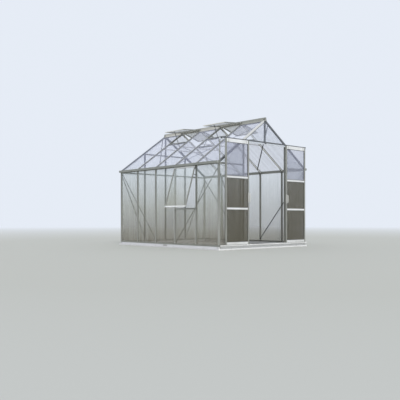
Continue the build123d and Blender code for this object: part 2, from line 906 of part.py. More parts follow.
# Sill bars of the roof vents, between the rafters
vent_sill_x, vent_sill_z = left_slope_point(vent_reach, 0)
with BuildPart() as roof_vent_sills:
    for bay in vent_bays:
        start = bay * bay_length + bar_face / 2
        origin = (vent_sill_x, start, vent_sill_z)
        with BuildSketch(Plane(origin=origin, x_dir=(cos(pitch), 0, sin(pitch)), z_dir=(0, 1, 0))):
            add(bar_section.sketch)
        extrude(amount=bay_length - bar_face)
    mirror(about=Plane.YZ)
roof_vent_sills.part.label = "roof_vent_sills"
export_step(roof_vent_sills.part, "parts/roof_vent_sills.step")

side_sill_start = side_vent_bay * bay_length + bar_face / 2
with BuildPart() as side_vent_sill:
    origin = (-half_width, side_sill_start, side_sill_middle)
    with BuildSketch(Plane(origin=origin, x_dir=(0, 0, 1), z_dir=(0, 1, 0))):
        add(bar_section.sketch)
    extrude(amount=bay_length - bar_face)
side_vent_sill.part.label = "side_vent_sill"
export_step(side_vent_sill.part, "parts/side_vent_sill.step")


# Vents. A vent lies in its own plane: u runs from the hinge to the free edge, v out of it.
roof_hinge_lift = (roof_hinge_z - roof_z(roof_hinge_x)) * cos(pitch)
roof_vent_length = vent_reach + bar_face / 2 - roof_hinge_x / cos(pitch)
side_vent_length = side_hinge_z - side_sill_height + side_vent_lap


class Vent:
    """Where one vent hangs, how long it is and how far below the level it points."""

    def __init__(self, side, bay, angle, hinge, reach, under):
        self.side = side
        self.start = bay * bay_length + vent_side_gap
        self.width = bay_length - 2 * vent_side_gap
        self.turn = angle * pi / 180
        self.hinge_x, self.hinge_z = hinge
        self.reach = reach
        self.under = under
        self.middle = -under + vent_depth / 2

    def point(self, u, v):
        """X and Z of a point of the vent."""
        x = self.hinge_x + u * cos(self.turn) + v * sin(self.turn)
        return self.side * x, self.hinge_z - u * sin(self.turn) + v * cos(self.turn)

    def side_plane(self, inset):
        """Plane of the vent's side view, from which it is extruded along the house."""
        y = self.start + inset if self.side < 0 else self.start + self.width - inset
        x, z = self.point(0, 0)
        along = (self.side * cos(self.turn), 0, -sin(self.turn))
        return Plane(origin=(x, y, z), x_dir=along, z_dir=(0, -self.side, 0))

    def end_plane(self, u):
        """Plane square to the vent at u, with v downward."""
        x, z = self.point(u, 0)
        along = (self.side * cos(self.turn), 0, -sin(self.turn))
        middle = self.start + self.width / 2
        return Plane(origin=(x, middle, z), x_dir=(0, -self.side, 0), z_dir=along)

    def under_x(self, z):
        """X of the vent's inner face at height z."""
        u = (self.hinge_z - z - self.under * cos(self.turn)) / sin(self.turn)
        return self.point(u, -self.under)[0]


roof_hinge = (roof_hinge_x, roof_hinge_z)
roof_vents = []
for bay in vent_bays:
    roof_vents.append(Vent(-1, bay, left_vent_angle, roof_hinge, roof_vent_length, roof_hinge_lift))
    roof_vents.append(Vent(1, bay, right_vent_angle, roof_hinge, roof_vent_length, roof_hinge_lift))
side_hinge = (side_hinge_x, side_hinge_z)
side_vent = Vent(-1, side_vent_bay, 90 - side_vent_angle, side_hinge, side_vent_length, socket_radius)


def vent_rail_section(vent, outer_edge, inward):
    """Side view of a rail: groove for the sheet on its inward side, channel open below."""
    channel = vent_rail - vent_groove - 2 * skin
    with BuildSketch() as outline:
        with Locations((outer_edge + inward * vent_rail / 2, vent.middle)):
            Rectangle(vent_rail, vent_depth)
        with Locations((outer_edge + inward * (vent_rail - vent_groove / 2), vent.middle)):
            Rectangle(vent_groove, sheet, mode=Mode.SUBTRACT)
        with Locations((outer_edge + inward * (skin + channel / 2), vent.middle - skin)):
            Rectangle(channel, vent_depth, mode=Mode.SUBTRACT)
    return outline.sketch


def vent_head(vent):
    """Side view of the top rail with its neck and the bead that hangs in the socket."""
    with BuildSketch() as outline:
        add(vent_rail_section(vent, vent_clear, 1))
        with Locations(((vent_clear + neck_root) / 2, 0)):
            Rectangle(vent_clear + neck_root, hinge_neck)
        Circle(hinge_bead)
    return outline.sketch


def vent_tail(vent):
    """Side view of the bottom rail."""
    return vent_rail_section(vent, vent.reach, -1)


def vent_stiles(vent):
    """Both stiles in section, seen along the vent, grooves facing each other."""
    with BuildSketch() as outline:
        for side in (-1, 1):
            with Locations((side * (vent.width - vent_stile) / 2, -vent.middle)):
                Rectangle(vent_stile, vent_depth)
            with Locations((side * (vent.width / 2 - vent_stile + vent_groove / 2), -vent.middle)):
                Rectangle(vent_groove, sheet, mode=Mode.SUBTRACT)
    return outline.sketch


def vent_sheet(vent):
    """Side view of the vent's sheet, from groove to groove."""
    start = vent_clear + vent_rail - vent_groove + sheet_end_gap
    end = vent.reach - vent_rail + vent_groove - sheet_end_gap
    with BuildSketch() as outline:
        with Locations(((start + end) / 2, vent.middle)):
            Rectangle(end - start, sheet)
    return outline.sketch


sheet_inset = vent_stile - vent_groove + sheet_end_gap
with BuildPart() as roof_vent_rails:
    for vent in roof_vents:
        for outline in (vent_head(vent), vent_tail(vent)):
            with BuildSketch(vent.side_plane(0)):
                add(outline)
            extrude(amount=vent.width)
roof_vent_rails.part.label = "roof_vent_rails"
export_step(roof_vent_rails.part, "parts/roof_vent_rails.step")

with BuildPart() as roof_vent_stiles:
    for vent in roof_vents:
        with BuildSketch(vent.end_plane(vent_clear + vent_rail)):
            add(vent_stiles(vent))
        extrude(amount=vent.reach - vent_clear - 2 * vent_rail)
roof_vent_stiles.part.label = "roof_vent_stiles"
export_step(roof_vent_stiles.part, "parts/roof_vent_stiles.step")

with BuildPart() as roof_vent_sheets:
    for vent in roof_vents:
        with BuildSketch(vent.side_plane(sheet_inset)):
            add(vent_sheet(vent))
        extrude(amount=vent.width - 2 * sheet_inset)
roof_vent_sheets.part.label = "roof_vent_sheets"
export_step(roof_vent_sheets.part, "parts/roof_vent_sheets.step")

with BuildPart() as side_vent_rails:
    for outline in (vent_head(side_vent), vent_tail(side_vent)):
        with BuildSketch(side_vent.side_plane(0)):
            add(outline)
        extrude(amount=side_vent.width)
side_vent_rails.part.label = "side_vent_rails"
export_step(side_vent_rails.part, "parts/side_vent_rails.step")

with BuildPart() as side_vent_stiles:
    with BuildSketch(side_vent.end_plane(vent_clear + vent_rail)):
        add(vent_stiles(side_vent))
    extrude(amount=side_vent.reach - vent_clear - 2 * vent_rail)
side_vent_stiles.part.label = "side_vent_stiles"
export_step(side_vent_stiles.part, "parts/side_vent_stiles.step")

with BuildPart() as side_vent_sheet:
    with BuildSketch(side_vent.side_plane(sheet_inset)):
        add(vent_sheet(side_vent))
    extrude(amount=side_vent.width - 2 * sheet_inset)
side_vent_sheet.part.label = "side_vent_sheet"
export_step(side_vent_sheet.part, "parts/side_vent_sheet.step")


# Stays that hold the roof vents open, past the sill bar's flange or channel and into the house
stay_seats = [
    left_slope_point(vent_reach - bar_face / 2 - running_gap, skin),
    left_slope_point(vent_reach - channel_width / 2 - running_gap, bar_depth),
]
with BuildPart() as roof_vent_stays:
    for vent in roof_vents:
        head_outer = vent.point(vent.reach - stay_inset, -vent.under)
        head_inner = vent.point(vent.reach - stay_inset - stay_width, -vent.under)
        runs = [(-vent.side * x - head_outer[0], z - head_outer[1]) for x, z in stay_seats]
        run = max(runs, key=lambda way: abs(way[0] / way[1]))
        stretch = 1 + stay_tail / hypot(*run)
        foot_outer = (head_outer[0] + run[0] * stretch, head_outer[1] + run[1] * stretch)
        foot_inner = (head_inner[0] + run[0] * stretch, head_inner[1] + run[1] * stretch)
        with BuildSketch(cross_plane(vent.start + vent.width / 2 + stay / 2)):
            Polygon(head_outer, head_inner, foot_inner, foot_outer, align=None)
        extrude(amount=stay)
roof_vent_stays.part.label = "roof_vent_stays"
export_step(roof_vent_stays.part, "parts/roof_vent_stays.step")

# Side vent arms, from the wall bars to the vent's stiles
arm_height = side_hinge_z - arm_drop
with BuildPart() as side_vent_arms:
    for y in (side_vent.start + bar_face / 4, side_vent.start + side_vent.width - bar_face / 4):
        with BuildSketch(cross_plane(y + stay / 2)):
            Polygon(
                (-half_width, arm_height),
                (-half_width, arm_height + stay_width),
                (side_vent.under_x(arm_height + stay_width), arm_height + stay_width),
                (side_vent.under_x(arm_height), arm_height),
                align=None,
            )
        extrude(amount=stay)
side_vent_arms.part.label = "side_vent_arms"
export_step(side_vent_arms.part, "parts/side_vent_arms.step")


# Door track over the opening, with the rail that the rollers run on
lip_top = track_bottom + track_plate + track_lip_rise
with BuildPart() as door_track:
    with BuildSketch(Plane.YZ.offset(-track_half_length)):
        Polygon(
            (0, track_bottom),
            (-track_ledge, track_bottom),
            (-track_ledge, lip_top),
            (-track_ledge + track_plate, lip_top),
            (-track_ledge + track_plate, track_bottom + track_plate),
            (-track_plate, track_bottom + track_plate),
            (-track_plate, track_top - track_plate),
            (-track_cover, track_top - track_plate),
            (-track_cover, track_top),
            (0, track_top),
            align=None,
        )
    extrude(amount=2 * track_half_length)
    with BuildSketch(Plane.YZ.offset(-track_half_length)):
        with Locations((-track_cover / 2, (track_bottom + track_top) / 2)):
            Rectangle(track_cover, track_top - track_bottom)
    extrude(amount=track_plate)
    with BuildSketch(Plane.YZ.offset(track_half_length - track_plate)):
        with Locations((-track_cover / 2, (track_bottom + track_top) / 2)):
            Rectangle(track_cover, track_top - track_bottom)
    extrude(amount=track_plate)
door_track.part.label = "door_track"
export_step(door_track.part, "parts/door_track.step")

strut_foot = wall_top - bar_depth
with BuildPart() as track_struts:
    with BuildSketch(Plane.XY.offset(strut_foot)):
        with Locations((-track_half_length + strut_width / 2, -strut_depth / 2)):
            Rectangle(strut_width, strut_depth)
    extrude(amount=track_bottom - strut_foot)
    mirror(about=Plane.YZ)
track_struts.part.label = "track_struts"
export_step(track_struts.part, "parts/track_struts.step")

# Bottom guide: a channel on the sill's face, with a lip each side of the leaves' skids
guide_lip = -guide_ledge + guide_plate
guide_rib = 2 * leaf_middle - guide_lip
guide_floor = guide_top - guide_drop + guide_plate
with BuildPart() as door_guide:
    with BuildSketch(Plane.YZ.offset(-track_half_length)):
        Polygon(
            (0, guide_floor - guide_plate),
            (-guide_ledge, guide_floor - guide_plate),
            (-guide_ledge, guide_top),
            (guide_lip, guide_top),
            (guide_lip, guide_floor),
            (guide_rib, guide_floor),
            (guide_rib, guide_top),
            (guide_rib + guide_plate, guide_top),
            (guide_rib + guide_plate, guide_floor),
            (0, guide_floor),
            align=None,
        )
    extrude(amount=2 * track_half_length)
door_guide.part.label = "door_guide"
export_step(door_guide.part, "parts/door_guide.step")


# Sliding leaves
wheel_z = lip_top + running_gap + roller_radius
rail_spans = [
    (leaf_bottom, leaf_bottom + leaf_bottom_rail),
    (leaf_rail_heights[0] - leaf_mid_rail / 2, leaf_rail_heights[0] + leaf_mid_rail / 2),
    (leaf_rail_heights[1] - leaf_mid_rail / 2, leaf_rail_heights[1] + leaf_mid_rail / 2),
    (leaf_top - leaf_top_rail, leaf_top),
]
leaf_edges = {
    "left": -track_half_length + left_leaf_stand,
    "right": track_half_length - right_leaf_stand - leaf_width,
}


def leaf_stiles(edge):
    """Both hollow stiles in plan, grooves facing each other."""
    hollow = leaf_stile - leaf_groove - 2 * skin
    with BuildSketch() as outline:
        for side in (-1, 1):
            middle = edge + leaf_width / 2
            with Locations((middle + side * (leaf_width - leaf_stile) / 2, leaf_middle)):
                RectangleRounded(leaf_stile, leaf_depth, skin)
            with Locations((middle + side * (leaf_width / 2 - leaf_stile + leaf_groove / 2), leaf_middle)):
                Rectangle(leaf_groove, sheet, mode=Mode.SUBTRACT)
            with Locations((middle + side * (leaf_width / 2 - skin - hollow / 2), leaf_middle)):
                Rectangle(hollow, leaf_depth - 2 * skin, mode=Mode.SUBTRACT)
    return outline.sketch


def leaf_rails():
    """The four rails in section: a groove towards each sheet and a channel open at the back."""
    with BuildSketch() as outline:
        for number, (low, high) in enumerate(rail_spans):
            with Locations((leaf_middle, (low + high) / 2)):
                Rectangle(leaf_depth, high - low)
            channel_low = low + skin
            channel_high = high - skin
            if number > 0:
                channel_low += leaf_groove
                with Locations((leaf_middle, low + leaf_groove / 2)):
                    Rectangle(sheet, leaf_groove, mode=Mode.SUBTRACT)
            if number < len(rail_spans) - 1:
                channel_high -= leaf_groove
                with Locations((leaf_middle, high - leaf_groove / 2)):
                    Rectangle(sheet, leaf_groove, mode=Mode.SUBTRACT)
            with Locations((leaf_middle + skin, (channel_low + channel_high) / 2)):
                Rectangle(leaf_depth, channel_high - channel_low, mode=Mode.SUBTRACT)
    return outline.sketch


def leaf_sheets(edge):
    """The three sheets of a leaf in front view."""
    inset = leaf_stile - leaf_groove + sheet_end_gap
    with BuildSketch() as outline:
        for (low, below), (above, high) in zip(rail_spans, rail_spans[1:]):
            bottom = below - leaf_groove + sheet_end_gap
            top = above + leaf_groove - sheet_end_gap
            with Locations((edge + leaf_width / 2, (bottom + top) / 2)):
                Rectangle(leaf_width - 2 * inset, top - bottom)
    return outline.sketch


def wheel_profile(x):
    """Half section of a grooved wheel and its axle, on the wheel's centre plane."""
    groove_front = -track_ledge - roller_side_gap
    groove_back = -track_ledge + track_plate + roller_side_gap
    wheel_front = groove_front - roller_bevel - roller_flange
    wheel_back = groove_back + roller_bevel + roller_flange
    with BuildSketch() as outline:
        Polygon(
            (x, leaf_back + hanger),
            (x + axle_radius, leaf_back + hanger),
            (x + axle_radius, wheel_front),
            (x + roller_flange_radius, wheel_front),
            (x + roller_flange_radius, groove_front - roller_bevel),
            (x + roller_radius, groove_front),
            (x + roller_radius, groove_back),
            (x + roller_flange_radius, groove_back + roller_bevel),
            (x + roller_flange_radius, wheel_back),
            (x, wheel_back),
            align=None,
        )
    return outline.sketch


def skid_outline(x):
    """Front view of the sledge-shaped skid under a leaf, in the bottom guide."""
    skid_bottom = guide_floor + skid_floor_gap
    with BuildSketch() as outline:
        with Locations((x, (skid_bottom + leaf_bottom) / 2)):
            block = Rectangle(skid_length, leaf_bottom - skid_bottom)
        chamfer(block.vertices().group_by(Axis.Y)[0], skid_chamfer)
    return outline.sketch


def pull_outline():
    """Side view of a bow handle: two feet and a grip."""
    with BuildSketch() as outline:
        with Locations((leaf_front - handle_reach / 2, handle_middle)):
            outer = Rectangle(handle_reach, handle_height)
        fillet(outline.vertices().group_by(Axis.X)[0], handle_reach / 2)
        inner_reach = handle_reach - handle_grip
        with Locations((leaf_front - inner_reach / 2, handle_middle)):
            Rectangle(inner_reach, handle_height - 2 * handle_foot, mode=Mode.SUBTRACT)
    return outline.sketch


for name, edge in leaf_edges.items():
    with BuildPart() as stiles:
        with BuildSketch(Plane.XY.offset(leaf_bottom)):
            add(leaf_stiles(edge))
        extrude(amount=leaf_top - leaf_bottom)
    stiles.part.label = f"{name}_door_stiles"
    export_step(stiles.part, f"parts/{name}_door_stiles.step")

    with BuildPart() as rails:
        with BuildSketch(Plane.YZ.offset(edge + leaf_stile)):
            add(leaf_rails())
        extrude(amount=leaf_width - 2 * leaf_stile)
    rails.part.label = f"{name}_door_rails"
    export_step(rails.part, f"parts/{name}_door_rails.step")

    with BuildPart() as sheets:
        with BuildSketch(cross_plane(leaf_middle + sheet / 2)):
            add(leaf_sheets(edge))
        extrude(amount=sheet)
    sheets.part.label = f"{name}_door_sheets"
    export_step(sheets.part, f"parts/{name}_door_sheets.step")

    with BuildPart() as rollers:
        for x in (edge + roller_inset, edge + leaf_width - roller_inset):
            with BuildSketch(Plane.XY.offset(wheel_z)):
                add(wheel_profile(x))
            revolve(axis=Axis((x, 0, wheel_z), (0, 1, 0)))
            with BuildSketch(cross_plane(leaf_back + hanger)):
                with Locations((x, (leaf_top - leaf_top_rail + wheel_z + roller_flange_radius) / 2)):
                    Rectangle(hanger_width, wheel_z + roller_flange_radius - leaf_top + leaf_top_rail)
            extrude(amount=hanger)
    rollers.part.label = f"{name}_door_rollers"
    export_step(rollers.part, f"parts/{name}_door_rollers.step")

    skid_back = guide_rib - skid_side_gap
    with BuildPart() as skids:
        with BuildSketch(cross_plane(skid_back)):
            for x in (edge + roller_inset, edge + leaf_width - roller_inset):
                add(skid_outline(x))
        extrude(amount=2 * (skid_back - leaf_middle))
    skids.part.label = f"{name}_door_skids"
    export_step(skids.part, f"parts/{name}_door_skids.step")

    meeting_side = edge + leaf_width - leaf_stile / 2 if name == "left" else edge + leaf_stile / 2
    with BuildPart() as pull:
        with BuildSketch(Plane.YZ.offset(meeting_side - handle_width / 2)):
            add(pull_outline())
        extrude(amount=handle_width)
    pull.part.label = f"{name}_door_handle"
    export_step(pull.part, f"parts/{name}_door_handle.step")
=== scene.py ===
from math import atan2, radians

import bmesh
import bpy
from mathutils import Matrix, Vector


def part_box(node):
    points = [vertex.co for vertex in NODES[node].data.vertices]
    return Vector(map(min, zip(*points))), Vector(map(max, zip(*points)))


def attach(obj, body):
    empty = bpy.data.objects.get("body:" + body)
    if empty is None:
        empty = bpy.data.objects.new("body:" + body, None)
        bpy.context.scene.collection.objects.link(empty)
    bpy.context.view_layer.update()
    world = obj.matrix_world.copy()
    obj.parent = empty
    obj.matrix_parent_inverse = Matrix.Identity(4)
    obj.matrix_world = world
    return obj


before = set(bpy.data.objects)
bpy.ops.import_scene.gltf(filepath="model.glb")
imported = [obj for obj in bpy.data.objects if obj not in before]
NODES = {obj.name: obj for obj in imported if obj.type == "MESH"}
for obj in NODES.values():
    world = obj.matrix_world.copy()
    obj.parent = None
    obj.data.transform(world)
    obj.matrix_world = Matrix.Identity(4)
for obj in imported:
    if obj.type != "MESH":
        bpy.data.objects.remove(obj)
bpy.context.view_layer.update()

bl_info = {
    "name": "Greenhouse Finishes",
    "version": (1, 0, 0),
    "blender": (4, 5, 0),
    "location": "View3D > Sidebar > Greenhouse",
    "description": "Metal, twin-wall sheets and small fittings of an aluminium greenhouse",
    "category": "Add Mesh",
}

HOUSE = "house"
RIGHT = Vector((1.0, 0.0, 0.0))
BACK = Vector((0.0, 1.0, 0.0))
UP = Vector((0.0, 0.0, 1.0))
SIDES = (-1.0, 1.0)

# Metres
WELD = 1e-5
NEAR, OFF, AWAY = 0.05, 0.1, 0.3  # how far before a face a ray starts
OVERHEAD = 3.0
STRIP, STRIP_EDGE = 0.0016, 0.0006  # thickness and bevel of a rubber strip

FINE, COARSE = 900.0, 200.0  # spangle of screws and of splice plates


# Places read from the frame
def corners_of(points):
    """Lowest and highest corner of a set of points."""
    return tuple(Vector([end(p[i] for p in points) for i in range(3)]) for end in (min, max))


def solids_of(node):
    """The corner points of each separate solid of a CAD node, sorted by place."""
    mesh = bmesh.new()
    mesh.from_mesh(NODES[node].data)
    bmesh.ops.remove_doubles(mesh, verts=mesh.verts, dist=WELD)
    left = set(mesh.verts)
    solids = []
    while left:
        reached = [left.pop()]
        for vertex in reached:
            for edge in vertex.link_edges:
                other = edge.other_vert(vertex)
                if other in left:
                    left.discard(other)
                    reached.append(other)
        solids.append([vertex.co.copy() for vertex in reached])
    mesh.free()
    return sorted(solids, key=lambda points: tuple(round(c, 4) for c in corners_of(points)[0]))


def boxes_of(node, left_only=False):
    """Lowest and highest corner of each separate solid of a CAD node, or of those on the left."""
    boxes = [corners_of(points) for points in solids_of(node)]
    return [box for box in boxes if box[0].x < 0.0] if left_only else boxes


def ends_of(points):
    """Middles of the upper and the lower end of a slanting bar."""
    low, high = corners_of(points)
    middle = (low.z + high.z) / 2
    upper = [p for p in points if p.z > middle]
    lower = [p for p in points if p.z <= middle]
    return sum(upper, Vector()) / len(upper), sum(lower, Vector()) / len(lower)


def met_by(node, start, way):
    """Where a ray first meets a CAD node, and the way out of its face there."""
    way = way.normalized()
    met, place, normal, _ = NODES[node].ray_cast(Vector(start), way)
    if not met:
        raise RuntimeError(f"a ray from {tuple(start)} misses {node}")
    return place, -normal if normal.dot(way) > 0.0 else normal


def about_z(angle):
    """A turn about Z."""
    return Matrix.Rotation(angle, 4, "Z")


def facing(place, way, turn=0.0):
    """Stands a model, made along +Z, at a place with its top looking a given way."""
    return Matrix.Translation(place) @ UP.rotation_difference(way).to_matrix().to_4x4() @ about_z(turn)


def on(node, start, way, turn=0.0, lift=0.0):
    """Stands a model on the face of a CAD node that a ray meets."""
    place, normal = met_by(node, start, way)
    return facing(place + normal * lift, normal, turn)


wall_low, wall_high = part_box("left_wall_sheets")
half_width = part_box("corner_posts")[1].x
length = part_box("corner_posts")[1].y
bay_lines = [(low.y + high.y) / 2 for low, high in boxes_of("wall_bars", True)]
bay = bay_lines[0]
slope_out = met_by("left_roof_sheets", (-0.9, bay / 2, OVERHEAD), -UP)[1]
slope_down = Vector((-slope_out.z, 0.0, slope_out.x))
thickness = wall_high.x - wall_low.x
ridge_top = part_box("ridge_beam")[1].z
track_low, track_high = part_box("door_track")

CLIMB = Matrix.Rotation(-atan2(-slope_out.x, slope_out.z), 4, "Y")
HALF_TURN = Matrix.Translation((0.0, length, 0.0)) @ about_z(radians(180))
GABLES = ((-AWAY, BACK), (length + AWAY, -BACK))  # where a ray to each gable starts, and its way


def roof_out(side):
    """The way out of the roof on one side."""
    return Vector((-side * slope_out.x, 0.0, slope_out.z))


def both(place):
    """A place and the one that a half turn of the greenhouse brings it to."""
    return [place, HALF_TURN @ place]


def laid(start, turn=Matrix(), x=1.0, z=1.0):
    """Lays a strip, made one metre long, from a start: turned, and stretched along X or Z."""
    return Matrix.Translation(start) @ turn @ Matrix.Diagonal((x, 1.0, z, 1.0))


# Modelling helpers
def begin(add, **settings):
    """A new primitive at its place, alone selected, opened in edit mode."""
    bpy.ops.object.select_all(action="DESELECT")
    add(**settings)
    bpy.ops.object.transform_apply(location=True, rotation=True, scale=True)
    bpy.ops.object.mode_set(mode="EDIT")


def block(low, high):
    """A block between two corners, opened in edit mode."""
    low, high = Vector(low), Vector(high)
    begin(bpy.ops.mesh.primitive_cube_add, size=1.0, location=(low + high) / 2, scale=high - low)


def drum(corners, radius, low, high):
    """An upright cylinder or prism between two heights, opened in edit mode with its top picked."""
    begin(bpy.ops.mesh.primitive_cylinder_add, vertices=corners, radius=radius, depth=high - low,
          location=(0.0, 0.0, (low + high) / 2))
    pick_faces(UP)


def pick(edges, wanted):
    """Selects the edges, or else the faces, that pass a test."""
    bpy.context.tool_settings.mesh_select_mode = (False, edges, not edges)
    bpy.ops.mesh.select_all(action="DESELECT")
    data = bpy.context.object.data
    mesh = bmesh.from_edit_mesh(data)
    for part in mesh.edges if edges else mesh.faces:
        if wanted(part):
            part.select_set(True)
    bmesh.update_edit_mesh(data)


def pick_faces(*ways):
    """Selects the faces that look along one of the given ways."""
    pick(False, lambda face: any(face.normal.dot(way) > 0.99 for way in ways))


def pick_edges(way):
    """Selects the edges that run along a way."""
    pick(True, lambda edge: abs((edge.verts[1].co - edge.verts[0].co).normalized().dot(way)) > 0.99)


def bevel(offset, segments=1):
    """Bevels the selected edges."""
    bpy.ops.mesh.bevel(offset=offset, segments=segments, affect="EDGES")


def inset(thickness):
    """Insets the selected faces."""
    bpy.ops.mesh.inset(thickness=thickness)


def push(*move):
    """Moves what is selected."""
    bpy.ops.transform.translate(value=move)


def pull(*move):
    """Extrudes the selected faces."""
    bpy.ops.mesh.extrude_region_move(TRANSFORM_OT_translate={"value": move})


def finish(name):
    """Leaves edit mode, with round faces shaded smooth."""
    bpy.ops.object.mode_set(mode="OBJECT")
    bpy.ops.object.shade_smooth_by_angle(angle=radians(35))
    bpy.context.object.name = name
    return bpy.context.object


def soften(way, offset, name):
    """Bevels the edges that run along a way and leaves edit mode."""
    pick_edges(way)
    bevel(offset)
    return finish(name)


def strip(low, high, way, name):
    """A strip of rubber, one metre long."""
    block(low, high)
    return soften(way, STRIP_EDGE, name)


def join(pieces, name):
    """Joins pieces into one."""
    bpy.ops.object.select_all(action="DESELECT")
    for piece in pieces:
        piece.select_set(True)
    bpy.context.view_layer.objects.active = pieces[0]
    if len(pieces) > 1:
        bpy.ops.object.join()
    pieces[0].name = name
    return pieces[0]


def repeat(model, places, name):
    """One piece made of copies of a model, each with its own mesh; the model itself goes."""
    copies = []
    for place in places:
        copy = model.copy()
        copy.data = model.data.copy()
        copy.data.transform(place)
        bpy.context.collection.objects.link(copy)
        copies.append(copy)
    bpy.data.objects.remove(model)
    return join(copies, name)


def settle(piece, body, material):
    """Gives a finished piece its material, the body it rides on and the slot of its finish."""
    piece.data.materials.clear()
    piece.data.materials.append(material)
    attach(piece, body)


def hexagon_fixing(size, washer):
    """A washer, a chamfered nut and the end of its bolt, standing on z = 0."""
    disc_top, nut_top = 0.0016, 0.0056
    drum(16, washer, 0.0, disc_top)
    bevel(0.0005)
    disc = finish("washer")
    drum(6, size, disc_top, nut_top)
    inset(size * 0.14)
    push(0.0, 0.0, 0.0007)
    inset(size * 0.26)
    pull(0.0, 0.0, 0.0022)
    inset(0.0006)
    push(0.0, 0.0, 0.0005)
    return join([disc, finish("nut")], "fixing")


def pan_screw(radius):
    """A domed screw head with a recess, standing on z = 0."""
    drum(16, radius, 0.0, 0.0012)
    for step, rise in ((0.2, 0.14), (0.26, 0.08)):
        inset(radius * step)
        push(0.0, 0.0, radius * rise)
    inset(radius * 0.14)
    pull(0.0, 0.0, -radius * 0.25)
    return finish("screw")


def rounded_plate(low, high, way, corner):
    """A thin plate with rounded corners and a softened outer rim, looking along a way."""
    block(low, high)
    pick_edges(way)
    bevel(corner, 4)
    pick_faces(way)
    bevel(0.0006, 2)
    return finish("plate")


# Building blocks of the materials
class Graph:
    """The nodes of a material or of the world."""

    def __init__(self, owner):
        owner.use_nodes = True
        self.owner = owner
        self.tree = owner.node_tree
        self.shader = self.tree.nodes.get("Principled BSDF")
        self.place = None

    def node(self, kind, *values, **settings):
        """A node with its settings, and with values or links in its first sockets."""
        made = self.tree.nodes.new(kind)
        for key, value in settings.items():
            setattr(made, key, value)
        for value, socket in zip(values, made.inputs):
            self.put(value, socket)
        return made

    def put(self, value, socket):
        """A link or a plain value into a socket."""
        if isinstance(value, bpy.types.NodeSocket):
            self.tree.links.new(value, socket)
        else:
            socket.default_value = value

    def sum(self, operation, first, second=0.0):
        """A Math node."""
        return self.node("ShaderNodeMath", first, second, operation=operation).outputs[0]

    def axis(self, letter):
        """One coordinate of the place on the piece."""
        return self.node("ShaderNodeSeparateXYZ", self.place).outputs[letter]

    def slope(self):
        """The place with its height measured from the roof's slope, for a pattern along a rafter."""
        out = self.sum("ABSOLUTE", self.axis("X"))
        drop = self.sum("MULTIPLY", out, -slope_out.x / slope_out.z)
        height = self.sum("ADD", self.axis("Z"), drop)
        return self.node("ShaderNodeCombineXYZ", out, self.axis("Y"), height).outputs[0]

    def noise(self, scale, detail, place=None):
        """Cloudy values about one half, of one scale or of one for each axis."""
        mapping = self.node("ShaderNodeMapping", place or self.place)
        mapping.inputs["Scale"].default_value = (scale,) * 3 if isinstance(scale, float) else scale
        made = self.node("ShaderNodeTexNoise", mapping.outputs[0])
        made.inputs["Scale"].default_value = 1.0
        made.inputs["Detail"].default_value = detail
        return made.outputs["Fac"]

    def spread(self, value, low, high, start=0.0, end=1.0):
        """A value stretched from one range to another and kept within it."""
        return self.node("ShaderNodeMapRange", value, low, high, start, end).outputs[0]

    def mask(self, *fades):
        """The product of fades, each from 0 to 1 between two places on an axis."""
        product = None
        for letter, start, end in fades:
            fade = self.spread(self.axis(letter), start, end)
            product = self.sum("MULTIPLY", product, fade) if product else fade
        return product

    def mix(self, share, first, second):
        """Two colours mixed."""
        made = self.node("ShaderNodeMix", data_type="RGBA")
        self.put(share, made.inputs["Factor"])
        self.put(first, made.inputs["A"])
        self.put(second, made.inputs["B"])
        return made.outputs["Result"]

    def ramp(self, value, tones):
        """Colours that follow each other evenly as the value goes from 0 to 1."""
        made = self.node("ShaderNodeValToRGB", value)
        stops = made.color_ramp.elements
        while len(stops) < len(tones):
            stops.new(0.5)
        for number, tone in enumerate(tones):
            stops[number].position = number / (len(tones) - 1)
            stops[number].color = tone
        return made

    def relief(self, height, depth):
        """A bump of that depth, in metres, on the shader's normal."""
        made = self.node("ShaderNodeBump")
        self.put(height, made.inputs["Height"])
        made.inputs["Distance"].default_value = depth
        self.put(made.outputs[0], self.shader.inputs["Normal"])

    def finish(self, **values):
        """The shader's own sockets."""
        for name, value in values.items():
            self.put(value, self.shader.inputs[name.replace("_", " ").title()])
        return self.owner


def paint(name):
    """The graph of a new material, whose patterns follow the place on the piece."""
    graph = Graph(bpy.data.materials.new(name))
    graph.place = graph.node("ShaderNodeTexCoord").outputs["Object"]
    return graph


def shade(colour, factor):
    """A colour made lighter or darker."""
    return (*(min(c * factor, 1.0) for c in colour[:3]), 1.0)


# Masks of painted light and shade on the metal: fades along an axis, from its start to its end
# Painted highlight on the front-left gable rafter
FRONT_LEFT = (("X", 0.0, -0.002), ("X", -0.66, -0.6), ("Y", 0.5, 0.4))
# Painted light on the right slope's rafters, lit through the sheets
RIGHT_SLOPE = (("X", 0.0, 0.002),)
# Painted light on the flashings and the ridge past the first bay
PAST_FIRST_BAY = (("Y", bay, bay + 0.1),)
# Painted light on the ridge beam below its cap, past the first bay
BELOW_RIDGE_CAP = (*PAST_FIRST_BAY, ("Z", ridge_top - 0.025, ridge_top - 0.027))
# Painted shadow line along the track's top, under the header
TRACK_TOP_SHADOW = (("Z", track_high.z - 0.016, track_high.z - 0.014),)


